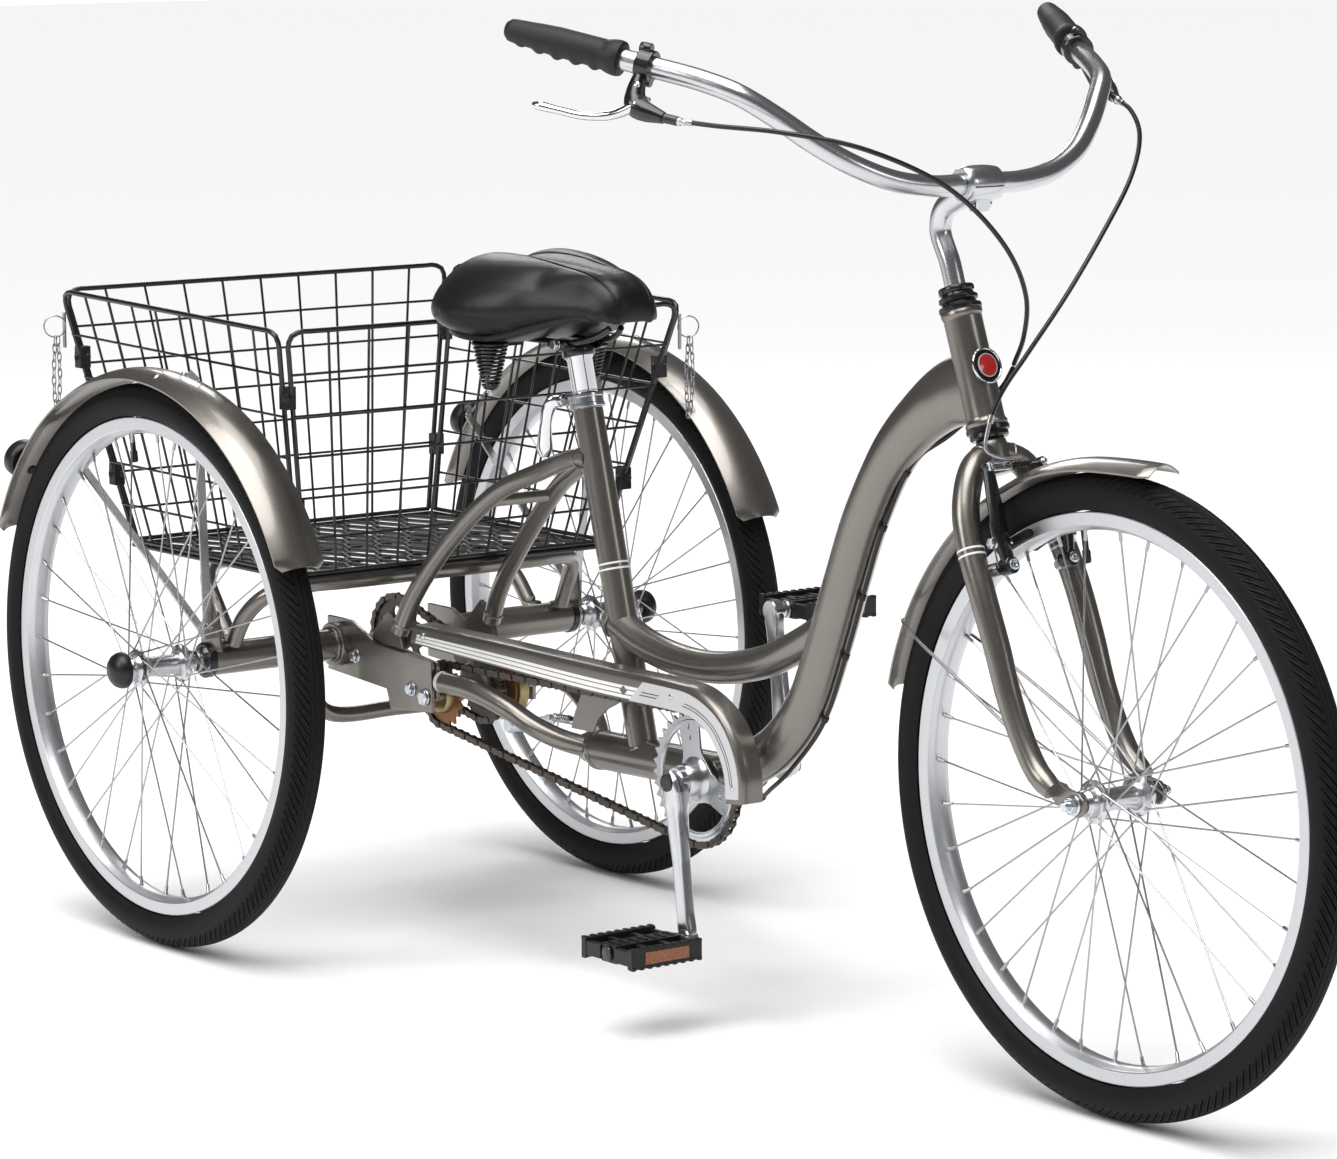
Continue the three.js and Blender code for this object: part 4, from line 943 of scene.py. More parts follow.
def fenders():
    """The three fenders with their stays, screws and reflectors."""
    for name, hub, s in (("right", RIGHT_HUB, -1), ("left", LEFT_HUB, 1)):
        painted(f"fender_{name}", fender_sheet(hub, 26, 158, 64), f"rear_fender_{name}")
        base, face = (wheel_point(hub, FENDER_R + rise, REFLECTOR_AT) for rise in (-3, 9))
        back = unit(at(-14, 0, 4))
        centre = wheel_point(hub, FENDER_R + 14, REFLECTOR_AT)
        cup = [(6, -5), (20, -3), (22.4, 0), (23, 3), (23, 12.6), (22, 14.2), (20.6, 14.2), (20.4, 11)]
        piece(f"reflector_cup_{name}", [lathe(cup, centre, back, 56), rod(base, face, 6, 20, 0.6)], PLASTIC,
              "frame")
        lens = [(20.3, 10), (20.3, 13), (17, 13.9), (9, 14.4), (0, 14.5)]
        piece(f"reflector_lens_{name}", lathe(lens, centre, back, 48), LENS_RED, "frame")
        foot = at(10, s * 262, 352)
        inner = s * (321 - 32 - 3)
        bars = []
        for degrees in STAYS_AT:
            top = wheel_point(hub, FENDER_R - 14, degrees, inner)
            bars.append(bar(foot, top, 2.5, 11, SIDE))
            bars.append(bar(top, wheel_point(hub, FENDER_R - 3, degrees, inner + s * 12), 2.2, 11, SIDE))
        bars.append(bolt(at(10, s * 264, 366), SIDE * s, 4.6))
        piece(f"fender_stay_bars_{name}", bars, STEEL, "frame", f"fender_stay_{name}",
              bevel=0.5)
        screws = [lathe([(4.4, 0), (4.2, 1.2), (2.6, 2.4), (0, 2.6)],
                        wheel_point(hub, FENDER_R - 4.2, d, hub[1] + o * 19),
                        wheel_point(at(0, 0, 0), 1, d) + SIDE * o * 0.6, 24) for d in STAYS_AT
                  for o in (-1, 1)]
        piece(f"fender_screws_{name}", screws, STEEL, "frame")

    def tip_lift(share):
        """The front fender's tip turns up."""
        return 7.0 * max(0.0, 1 - share / 0.16) ** 2

    def waist(degrees):
        """The front fender is narrower where it passes between the brake arms."""
        return 1 - 0.21 * math.exp(-(((degrees - 116.5) / 5) ** 2))

    painted("front_fender_sheet", fender_sheet(FRONT_HUB, 79, 168, 56, FENDER_R - 3, tip_lift, waist),
            "front_fender", "steering")
    wires = []
    for s in (-1, 1):
        line = [at(1247, s * 47.2, 337), wheel_point(FRONT_HUB, 140, 152, s * 44),
                wheel_point(FRONT_HUB, 300, 154, s * 34), wheel_point(FRONT_HUB, FENDER_R - 9, 154.5,
                s * 24), wheel_point(FRONT_HUB, FENDER_R - 4, 155, s * 12)]
        wires.append(tube(line, 1.8, 12))
        wires.append(lathe([(5, -1.6), (5.4, -1.2), (5.4, 1.2), (5, 1.6)], line[0], SIDE, 24))
    piece("front_fender_wires", wires, STEEL, "steering")


fenders()

# ---------------------------------------------------------------- fork and steering
BAR_R = 11
CABLE_R = 2.5
# how far down the fork leg its stripes are
STRIPE_SHARE = 0.33
FORK_LEG = [steer(-149, 0, -4), at(1090, -32, 640), at(1101, -52, 605), at(1117, -60, 566),
            at(1140, -63, 520), at(1163, -63, 468), at(1181, -63, 422), at(1202, -63, 382),
            at(1224, -62.5, 352), at(1246, -62, 336)]


def brake_foot(side):
    """The pivot of a front brake arm."""
    return at(1148, side * 40, 546)


def fork():
    """The fork with its crown, ends, welds, stripes and brake posts, and the upper headset."""
    leg = smooth(FORK_LEG, 5)
    radius = varied(leg, [0, 0.12, 0.3, 0.62, 0.85, 0.97, 1], [14.2, 14.2, 14.1, 13.6, 12.4, 12.4, 10])
    crown = lathe([(14.6, 0), (16.4, 1), (16.7, 5), (16.7, 28), (15.6, 34), (14.4, 36)], steer(-171), UP,
                  48)
    ends = []
    for s in (-1, 1):
        outline = [(1236, 345), (1250, 344), (1262, 339), (1278, 337), (1285, 331), (1285, 319),
                   (1278, 313), (1262, 314), (1238, 326)]
        ends.append(prism(outline, min(s * 50.5, s * 56), max(s * 50.5, s * 56)))
    painted("fork_blades", [sweep(leg, radius, 32), sweep(mirrored(leg), radius, 32), crown], "fork",
            "steering")
    painted("fork_ends", ends, (), "steering", 0.8)
    beads = [weld(leg[3] * at(1, s, 1), (leg[5] - leg[1]) * at(1, s, 1), 13.6, 1.6) for s in (-1, 1)]
    beads += [weld(leg[-3] * at(1, s, 1), (leg[-1] - leg[-5]) * at(1, s, 1), 8.8, 1.3) for s in (-1, 1)]
    painted("fork_welds", beads, (), "steering")
    stripe = int(len(leg) * STRIPE_SHARE)
    knee = leg[stripe]
    way = leg[stripe + 1] - knee
    for name, s in (("right", 1), ("left", -1)):
        stripe_pair(f"fork_stripes_{name}", knee * at(1, s, 1), way * at(1, s, 1), 14.05, "steering")
    posts = []
    for s in (-1, 1):
        foot = brake_foot(s)
        posts.append(rod(foot - AHEAD * 24 + SIDE * s * 14, foot - AHEAD * 5 + SIDE * s * 4, 7, 24, 0.6))
        posts.append(rod(foot - AHEAD * 9, foot + AHEAD * 14, 4, 20, 0.4))
    painted("brake_posts", posts, (), "steering")
    upper = [(14.9, 0.4), (21.4, 0.4), (22.3, 1.4), (22.3, 5), (21.4, 6), (18.4, 7.2), (17.6, 9),
             (19.6, 10.5), (20.4, 11.5), (20.4, 14.5), (19.4, 15.6), (17.2, 16.6), (16.6, 19), (18.2, 20.4),
             (18.6, 21.6), (18.6, 24.4), (17.6, 25.8), (13.4, 26), (11.5, 25.6), (11.5, 18.6), (14.9, 18.4)]
    piece("headset_stack", lathe(upper, HEAD_TOP, UP, 64, loop=True), BLACK, "steering",
          "headset_upper")
    piece("headset_locknut", hexagon(steer(19.4), UP, 34, 5.4), BLACK, "steering", bevel=0.4)


CLAMP = at(1057, 0, 922)


def stem():
    """The stem, its clamp and its pinch bolt."""
    neck = smooth([steer(-46), steer(0), steer(26), steer(52), at(999, 0, 872), at(1006, 0, 893),
                   at(1030, 0, 908), at(1050, 0, 918)], 4)
    radius = varied(neck, [0, 0.6, 0.78, 0.9, 1], [11, 11, 12.2, 14, 15])
    barrel = [(11.4, -23), (16, -23), (17.3, -21.4), (18.4, -14), (19, -6), (19, 6), (18.4, 14),
              (17.3, 21.4), (16, 23), (11.4, 23)]
    ears = skin([np.array([at(x, y, 912) for x, y in ((1047, -10), (1069, -10), (1069, 10), (1047, 10))]),
                 np.array([at(x, y, 894) for x, y in ((1052, -8), (1066, -8), (1066, 8), (1052, 8))])])
    piece("stem_body", [sweep(neck, radius, 40), lathe(barrel, CLAMP, SIDE, 56, loop=True)], ALLOY,
          "steering", "stem")
    piece("stem_pinch_ears", ears, ALLOY, "steering", bevel=2.2)
    pinch = joined(bolt(at(1059, -9.4, 901.6), -SIDE, 4.2), nut_stack(at(1059, 9.4, 901.6), 1, 5.2, 8, 3.4))
    piece("stem_pinch_bolt", pinch, ZINC, "steering", bevel=0.3)
    # painted shade: a thin dark strip on the clamp's front stands in for the shade in its open slot
    slot_shade = brick(at(1074.2, -18, 919.6), at(1076.4, 18, 920.8))
    piece("stem_clamp_slot", slot_shade, HOLLOW_SHADE, "steering")


def grip_out(side):
    """The outer end of a grip."""
    return at(756, side * 359.4, 1075.6)


def grip_in(side):
    """The point towards which a grip runs."""
    return at(866, side * 298, 1047.6)


def on_grip(side, along):
    """A point on the line of a grip, from its outer end."""
    return grip_out(side) + unit(grip_in(side) - grip_out(side)) * along


BAR_HALF = [*[on_grip(-1, along) for along in (8, 40, 75, 110, 140, 160)], at(940, -260, 1029),
            at(974, -241, 1016), at(998, -213, 994), at(1020, -180, 967), at(1038, -145, 945),
            at(1050, -100, 928), at(1056, -55, 922), at(1057, -25, 922)]


def handlebar():
    """The swept bar, the grips with finger ridges below, and the levers."""
    line = smooth([*BAR_HALF, *reversed(mirrored(BAR_HALF))], 5)
    piece("handlebar_tube", sweep(line, BAR_R, 36), ALLOY, "steering", "handlebar")
    for name, s in SIDES:
        way = unit(grip_in(s) - grip_out(s))
        profile = [(0, -6), (4, -5.6), (8, -4), (11.4, 0)]
        profile += [(float(np.interp(i, [0, 6, 14, 22, 45], [12, 13, 14.4, 15.4, 15.6])), 4 + i * 2.2)
                    for i in range(46)]
        profile += [(15.8, 107), (16.6, 109), (17.6, 113), (18.2, 117), (18.3, 121), (17.6, 124.4),
                    (15.6, 125.6), (12, 125.6)]
        points, faces = lathe(profile, grip_out(s), way, 48)
        over = basis(way)[1]
        under = np.clip(-((points - grip_out(s)) @ unit(over)) / 15, 0, 1)
        along = (points - grip_out(s)) @ way
        ridge = np.clip(np.sin((along - 8) / 21 * 2 * math.pi), -0.3, 1) * (along > 8) * (along < 106)
        points = points - np.outer(under ** 2 * ridge * 2.4, unit(over))
        piece(f"grip_sleeve_{name}", (points, faces), GRIP, "steering", f"grip_{name}")
        lever(name, s, way)


def lever(name, s, way):
    """A brake lever with its clamp, hinge, barrel adjuster and blade."""
    band = lathe([(11.2, 144), (15.6, 144), (16.4, 145), (16.4, 159), (15.6, 160), (11.2, 160)],
                 grip_out(s), way, 40, loop=True)
    body = smooth([at(886, s * 296, 1032), at(892, s * 306, 1016), at(900, s * 311, 1004),
                   at(930, s * 300, 993)], 2.5)
    spread = varied(body, [0, 0.25, 0.5, 0.75, 1], [7.5, 10, 12.5, 10, 6.2])
    knuckle = [sweep(body, spread, 24, wide=0.95), rod(at(926, s * 301.5, 994), at(944, s * 293, 990.4), 5,
                                                       20, 0.6)]
    piece(f"lever_clamp_{name}", [band, *knuckle], BLACK, "steering",
          f"lever_bracket_{name}")
    top = on_grip(s, 152) + SKY * 17
    lug = [lathe([(0, -6), (5.6, -6), (6.2, -5), (6.2, 5), (5.6, 6), (0, 6)], top, way, 24),
           lathe([(0, -5), (4.8, -5), (5.4, -4), (5.4, 4), (4.8, 5), (0, 5)], on_grip(s, 152) - SKY * 15.6,
                 way, 24)]
    piece(f"lever_hinge_{name}", lug, BLACK, "steering")
    pivot = spot(f"brake_lever_{name}_pull")
    screw = at(894, s * 300, 1021)
    out = unit(at(-0.35, s * -0.2, 0.3) + np.cross(way, SKY) * -s)
    parts = [nut_stack(pivot + at(2, -s * 7, 2), -s, 4, 6, 2.4),
             lathe([(4.6, 0), (4.4, 2.2), (3, 3.2), (0, 3.4)], screw + out * 8, out, 20)]
    barrel_way = unit(at(18, -s * 9.5, -3.6))
    start = at(942, s * 294, 990.8)
    ridges = [(3.9 + (0.5 if i % 2 else 0), i * 0.9) for i in range(8)]
    parts.append(lathe([(3.2, -1), *ridges, (3.2, 7.2), (3.0, 10), (2.4, 10.4)], start, barrel_way, 24))
    piece(f"lever_fittings_{name}", parts, ZINC, "steering", bevel=0.2)
    blade = smooth([at(905, s * 313, 1007), at(900, s * 317, 1003), at(884, s * 330, 995),
                    at(862, s * 347, 994), at(840, s * 362, 999), at(819, s * 374.6, 1004)], 2.5)
    thick = varied(blade, [0, 0.12, 0.4, 0.8, 0.96, 1], [6.2, 5.4, 4.2, 4.0, 4.8, 3.6])
    finger = [sweep(blade, thick, 24, wide=1.25), rod(pivot, at(901, s * 318.6, 1003), 5.6, 24, 0.8, 4.6),
              lathe([(0, -4.2), (3, -3.6), (4.4, 0), (3, 3.6), (0, 4.2)], blade[-1], blade[-1] - blade[-3],
                    24)]
    piece(f"lever_blade_{name}", finger, CHROME, f"{name}_lever", f"brake_lever_{name}")


fork()
stem()
handlebar()

# ---------------------------------------------------------------- front brake
SHOE_OUT = 22.6


def front_brake():
    """The two V-brake arms with their shoes, springs and bolts."""
    for name, s in SIDES:
        body = f"{name}_brake_arm"
        foot = brake_foot(s)
        top = foot + UP * 102 + AHEAD * 2 - SIDE * s * 5
        boss = lathe([(4.6, -2), (8.6, -2), (9, -1), (9, 12), (8.2, 13), (4.6, 13)], foot, AHEAD, 36,
                     loop=True)
        line = smooth([foot + UP * 5 + AHEAD * 6, foot + UP * 40 + AHEAD * 8 + SIDE * s * 3, top], 3)
        wide = varied(line, [0, 0.3, 0.7, 1], [5.2, 5.2, 4.6, 4.4])
        arm = sweep(line, wide, 24, wide=[1.5 + 0.5 * math.sin(t * 3.1)
                                          for t in np.linspace(0, 1, len(line))], hint=AHEAD)
        eye = lathe([(0, -5), (5, -5), (5.6, -4), (5.6, 4), (5, 5), (0, 5)], top, AHEAD, 28)
        shoe_at = foot + UP * 25 + AHEAD * 3
        socket = lathe([(0, 0), (7.6, 0), (8, 1), (8, 7), (6.6, 9), (0, 9)], shoe_at + SIDE * s * 1.5,
                       SIDE * s, 28)
        piece(f"v_brake_arm_{name}", [boss, arm, eye, socket], BLACK, body,
              f"brake_arm_{name}")
        centre = at(shoe_at[0], s * SHOE_OUT, shoe_at[2])
        way = unit(np.cross(SIDE, shoe_at - FRONT_HUB) * at(1, 0, 1))
        pad_line = [centre + way * t - unit(shoe_at - FRONT_HUB) * at(1, 0, 1) * (t * t) / 560
                    for t in np.linspace(-27, 27, 19)]
        sizes = np.interp(np.linspace(-1, 1, 19), [-1, -0.9, 0.9, 1], [3.6, 5, 5, 3.6])
        piece(f"brake_shoe_{name}", sweep(pad_line, sizes, 20, hint=SIDE), TYRE, body)
        spindle = rod(shoe_at + SIDE * s * 10, centre + SIDE * s * 3, 2.8, 20)
        metal = [spindle, nut_stack(shoe_at + SIDE * s * 10, s, 6.4, 10, 5),
                 lathe([(6, 0), (5.8, 2.4), (4, 3.4), (2.4, 3.4), (2.2, 2.2), (0, 2.2)],
                       foot + AHEAD * 13.2, AHEAD, 28)]
        spring = smooth([foot + AHEAD * 1 + SIDE * s * 9.4, foot + UP * 24 + AHEAD * 1 + SIDE * s * 9,
                         foot + UP * 52 + AHEAD * 3 + SIDE * s * 7.4,
                         foot + UP * 60 + AHEAD * 8 + SIDE * s * 6], 3)
        metal.append(sweep(spring, 0.9, 10))
        metal.append(bolt(top + AHEAD * 5, AHEAD, 3.4))
        piece(f"v_brake_fittings_{name}", metal, ZINC, body, bevel=0.2)


FRONT_CABLE = [at(950, 290, 990), at(985, 274, 982), at(1040, 236, 960), at(1088, 180, 922),
               at(1114, 120, 872), at(1122, 62, 810), at(1118, 12, 752), at(1113, -16, 716),
               at(1110, -30, 684), at(1114, -36, 660), at(1124, -22, 652), at(1130, -4, 652)]
REAR_CABLE_TOP = [at(950, -290, 990), at(985, -276, 987), at(1040, -240, 982), at(1095, -180, 966),
                  at(1136, -105, 926), at(1150, -45, 868), at(1138, -6, 815), at(1112, 14, 770),
                  at(1084, 26, 740)]
REAR_CABLE = [at(1081, 27.5, 736), at(1062, 31, 716), at(1034, 30, 694), at(996, 16, 660), at(958, 2, 631),
              at(910, 0, 556), at(880, 0, 488), at(848.5, 0, 412), at(810, 0, 334), at(753, 0, 275),
              at(715, 6, 250), at(676, 18, 230), at(640, 27, 225), at(540, 34, 222), at(440, 40, 226),
              at(380, 47, 238), at(320, 56, 258), at(262, 58, 259)]


def cables():
    """Both brake cables, with the noodle, boot, ferrules and clips."""
    front = smooth(FRONT_CABLE, 4)
    cut = int(len(front) * 0.885)
    piece("front_cable_housing", sweep(front[:cut], CABLE_R, 16), CABLE, "steering",
          "front_brake_cable")
    noodle = [lathe([(2.6, 0), (3.4, 0.6), (3.4, 9), (2.6, 10)], front[cut - 3],
                    front[cut] - front[cut - 3], 24), sweep(front[cut - 1:], 2.1, 16)]
    piece("front_brake_noodle", noodle, STEEL, "steering")
    pin = brake_foot(-1) + UP * 102 + AHEAD * 8 + SIDE * 5
    cradle = [bar(pin + UP * u - SIDE * 3, pin + UP * u + SIDE * 24, 2.2, 5, AHEAD) for u in (-3.6, 3.6)]
    cradle += [bar(pin + SIDE * e - UP * 4.6, pin + SIDE * e + UP * 4.6, 2.4, 5, AHEAD) for e in (-3, 24)]
    piece("front_brake_cradle", cradle, ZINC, "steering", bevel=0.5)
    bellows = [(2.4, 0)]
    bellows += [(3.6 + (1.0 if i % 2 else 0) - i * 0.12, 1 + i * 2.3) for i in range(10)]
    bellows += [(2, 25), (1.6, 27)]
    piece("front_brake_boot", lathe(bellows, pin + SIDE * 25.4, SIDE, 24), CABLE, "steering")
    inner = rod(pin + SIDE * 18, pin + SIDE * 62, 0.8, 10)
    piece("front_brake_inner_wire", inner, STEEL, "steering")
    top, down = smooth(REAR_CABLE_TOP, 4), smooth(REAR_CABLE, 4)
    loose = ("steering", "frame", at(1150, -55, 880), at(1084, 26, 740))
    piece("rear_cable_housing_top", sweep(top, CABLE_R, 16), CABLE, loose,
          "rear_brake_cable_top")
    piece("rear_cable_housing_frame", sweep(down, CABLE_R, 16), CABLE, "frame",
          "rear_brake_cable")
    ferrules = []
    for line in (front, top):
        ferrules.append(lathe([(2.6, 0), (3.2, 0.5), (3.2, 9), (2.6, 10)], line[0], line[2] - line[0], 20))
    piece("cable_end_ferrules", ferrules, STEEL, "steering")
    clips = []
    for share in (0.17, 0.235, 0.31, 0.375, 0.45, 0.6, 0.72):
        i = int(len(down) * share)
        way = unit(down[i + 1] - down[i - 1])
        clips.append(lathe([(2.6, -3.4), (3.7, -3), (3.9, 0), (3.7, 3), (2.6, 3.4)], down[i], way, 24,
                           loop=True))
        above = unit(np.cross(way, SIDE))
        above = above if above[2] > 0 else -above
        clips.append(rod(down[i] + above * 2, down[i] + above * 5.2, 2.2, 14, 0.4))
    piece("rear_cable_clips", clips, PLASTIC, "frame")


front_brake()
cables()

# ---------------------------------------------------------------- cranks and pedals


def crank_tip(side):
    """The pedal's place on a crank."""
    return spot("pedal_left_spin" if side > 0 else "pedal_right_spin")


# how square a rounded section is: 1 is round, 0 is a sharp rectangle
CORNER_POWER = 0.42


def rounded(centre, across, over, half_wide, half_thick, count=6):
    """A rounded rectangle of points about a centre."""
    ring = []
    for i in range(4 * count):
        turn = i / (4 * count) * 2 * math.pi
        c, s = math.cos(turn), math.sin(turn)
        x = math.copysign(abs(c) ** CORNER_POWER, c) * half_wide
        y = math.copysign(abs(s) ** CORNER_POWER, s) * half_thick
        ring.append(centre + across * x + over * y)
    return ring


def crank_arm(side):
    """A forged arm, broad at the spindle and narrow at the pedal, with a groove down its outer face."""
    tip = crank_tip(side)
    root = at(BB[0], side * 78, BB[2])
    way = unit((tip - root) * at(1, 0, 1))
    across = np.cross(way, SIDE)
    sections = []
    length = np.linalg.norm((tip - root) * at(1, 0, 1))
    for share in np.linspace(-0.07, 1.05, 48):
        wide = np.interp(share, [-0.07, -0.03, 0.05, 0.2, 0.5, 0.85, 0.95, 1.02, 1.05],
                         [5, 13, 15.5, 12.4, 10.2, 9.6, 11.6, 10.5, 5])
        thick = np.interp(share, [-0.07, 0, 0.2, 0.5, 0.9, 1.05], [8.5, 11, 8.2, 6.6, 6.8, 6])
        y = np.interp(share, [0, 0.25, 1], [78, 80, 87.5])
        centre = at(root[0], side * y, root[2]) + way * length * share
        ring = np.array(rounded(centre, across, SIDE * side, wide, thick, count=8))
        if 0.14 < share < 0.88:
            near = np.abs((ring - centre) @ across) < wide * 0.42
            outer = (ring - centre) @ (SIDE * side) > thick * 0.4
            ring[near & outer] -= SIDE * side * 1.3
        sections.append(ring)
    eye = lathe([(0, -6), (11, -6), (12, -5), (12, 6.6), (11, 7.4), (0, 7.4)], tip, SIDE * side, 40)
    boss = lathe([(8.6, 0), (14, 0), (15, 1), (15, 10), (8.6, 10)], at(BB[0], side * 66.8, BB[2]),
                 SIDE * side, 44)
    return joined(skin(sections), eye, boss)


def chainring():
    """A pressed ring with three long windows, slots, a stepped rim and chain teeth."""
    windows = []
    for middle in (42, 162, 282):
        outer = [(58.5, a) for a in np.linspace(-43, 43, 17)]
        inner = [(35, 34), (29, 22), (27, 0), (29, -22), (35, -34)]
        windows.append([(BB[0] + r * math.cos(math.radians(middle + a)),
                         BB[2] + r * math.sin(math.radians(middle + a))) for r, a in outer + inner])
    slots = []
    for middle in (102, 222, 342):
        for r in (45, 57):
            c = wheel_point(BB, r, middle)
            slots.append([(c[0] + 1.3 * math.cos(t), c[2] + 3.0 * math.sin(t))
                          for t in np.linspace(0, 2 * math.pi, 14, endpoint=False)])
    bore = circle(BB, 10, 32)
    teeth = disc_with_holes(tooth_outline(RING_TEETH, BB, RING_PHASE), [*windows, *slots, bore],
                            CRANK_CHAIN_Y - 1.4, CRANK_CHAIN_Y + 1.4)
    piece("chainring_teeth", teeth, ALLOY, "crank", bevel=0.3)
    rim = lathe([(59.6, -1.6), (60.4, -2.6), (64.2, -2.6), (65, -1.6), (65, -1), (59.6, -1)],
                BB + SIDE * CRANK_CHAIN_Y, SIDE, 96, loop=True)
    boss = lathe([(8.6, 4), (8.6, -20), (17, -20), (19, -17), (20, -9), (23, -3), (24.4, -1.4), (24.4, 2.2),
                  (21, 3)], BB + SIDE * CRANK_CHAIN_Y, SIDE, 64, loop=True)
    piece("chainring_rim_and_boss", [rim, boss], ALLOY, "crank")


def cranks():
    """The crank arms, their spindle and the chainring."""
    spindle = rod(BB - SIDE * 80, BB + SIDE * 80, 8.4, 28)
    for name, s in SIDES:
        piece(f"crank_arm_{name}", crank_arm(s), POLISHED, "crank", f"crank_{name}")
        dust = lathe([(8.6, 0), (9.6, 0.6), (9.6, 1.6), (7.6, 2.2), (7, 1.4), (0, 1.3)],
                     at(BB[0], s * 88.6, BB[2]), SIDE * s, 32)
        piece(f"crank_dust_cap_{name}", dust, SPROCKET, "crank")
    piece("bracket_spindle", spindle, STEEL, "crank")
    chainring()


def pedals():
    """The pedal blocks with treads, reflectors, axles and end caps."""
    for name, s in SIDES:
        body = f"{name}_pedal"
        tip = crank_tip(s)
        c = at(tip[0], s * 150, tip[2])

        def block(x0, y0, z0, x1, y1, z1):
            """A box placed from the pedal's middle."""
            return brick(c + at(x0, y0, z0), c + at(x1, y1, z1))

        parts = [block(-13, -44, -10, 13, 44, 10)]
        for e in (-1, 1):
            x0, x1 = sorted((e * 37, e * 45))
            parts.append(block(x0, -47, -11, x1, 47, 11))
            for t in range(9):
                y = -44 + t * 11
                lo, hi = sorted((e * 45.8, e * 39))
                parts.append(block(lo, y - 2.6, 8, hi, y + 2.6, 12))
                parts.append(block(lo, y - 2.6, -12, hi, y + 2.6, -8))
            for y in (-43, -15, 15, 43):
                lo, hi = sorted((e * 12, e * 38))
                parts.append(block(lo, y - 3.2, -8, hi, y + 3.2, 8))
        for t in range(7):
            y = -36 + t * 12
            parts.append(block(-9, y - 2.4, 9, 9, y + 2.4, 11.4))
            parts.append(block(-9, y - 2.4, -11.4, 9, y + 2.4, -9))
        piece(f"pedal_block_{name}", parts, PLASTIC, body, f"pedal_{name}", bevel=0.7)
        lenses = [block(low, -29, -6.6, high, 29, 6.6) for low, high in ((-46, -44.4), (44.4, 46))]
        piece(f"pedal_reflectors_{name}", lenses, LENS_AMBER, body, bevel=0.5)
        near = at(tip[0], s * 96.8, tip[2])
        axle = [rod(near, c, 5.2, 24), hexagon(near + SIDE * s * 1, SIDE * s, 15, 4),
                lathe([(9, 0), (10, 1), (10, 4), (8, 5)], c - SIDE * s * 48, SIDE * s, 28)]
        piece(f"pedal_axle_{name}", axle, ZINC, body, bevel=0.3)
        cap = lathe([(8, 0), (7.6, 1), (4, 1.6), (0, 1.7)], c + SIDE * s * 46.4, SIDE * s, 28)
        piece(f"pedal_end_cap_{name}", cap, BLACK, body)


cranks()
pedals()

# ---------------------------------------------------------------- rear band brake


def band_brake():
    """The fixed ring and bracket round the drum, and the swinging arm with its spring and wires."""
    fixed = lathe([(35.2, 33), (36.6, 33), (38.2, 34.2), (38.2, 36), (37.2, 36.8), (37.2, 44), (38.2, 44.8),
                   (38.2, 45.8), (36.6, 46.8), (35.2, 46.8)], at(JACK[0], 0, JACK[2]), SIDE, 72, loop=True)
    hub = at(187, 0, 241)
    lug = [lathe([(0, 33), (8, 33), (9, 34), (9, 49), (8, 50), (0, 50)], hub, SIDE, 32),
           bar(at(180, 40, 250), at(196, 40, 272), 14, 4, SIDE)]
    face = disc_with_holes(circle(JACK, 36, 64), [circle(JACK, 20, 40),
                                                  *[[(JACK[0] + 28 * math.cos(a) + 3 * math.cos(t),
                                                      JACK[2] + 28 * math.sin(a) + 3 * math.sin(t))
                                                     for t in np.linspace(0, 2 * math.pi, 14,
            endpoint=False)] for a in np.linspace(0.4, 5.8, 6)]], 45, 46.6)
    piece("band_brake_ring", [fixed, face], GOLD_ZINC, "frame", "band_brake_bracket")
    piece("band_brake_lug", lug, ZINC, "frame", bevel=0.6)
    foot, eye = at(187, 55, 241), at(240, 55, 254)
    arm = [bar(foot, eye, 9, 3.6, SIDE), lathe([(0, 50.6), (8.2, 50.6), (9, 51.4), (9, 57.4), (8.2, 58),
                                                (0, 58)], hub, SIDE, 32), lathe([(0, -3.4), (5.6, -3.4),
            (5.6, 3.4), (0, 3.4)], eye, SIDE, 24), hexagon(at(187, 58, 241), SIDE, 10, 4.2)]
    piece("band_brake_lever", arm, ZINC, "band_arm", "band_brake_arm", bevel=0.4)
    spring = coil(at(250, 55.4, 257.2), at(285, 54, 258.6), (4.4, 4.4), 0.7, 9)
    piece("band_brake_spring", spring, STEEL, "frame")
    wire = rod(at(242, 55, 255), at(270, 57.6, 258.8), 0.9, 10)
    piece("band_brake_wire", wire, STEEL, "frame")
    ferrule = lathe([(2.6, 0), (3.4, 0.8), (3.4, 9), (4.2, 10), (4.2, 13), (2.6, 14)], at(262, 58, 259),
                    at(1, 0, -0.02), 20)
    piece("band_brake_ferrule", ferrule, ZINC, "frame")


# ---------------------------------------------------------------- chain guard
def curve2d(points, step):
    """A smooth line through (x, z) points."""
    line = smooth([at(x, 0, z) for x, z in points], step)
    return [(p[0], p[2]) for p in line]


# columns along the guard, and how far out its flat face is
GUARD_STEPS = 130
GUARD_FACE = -64


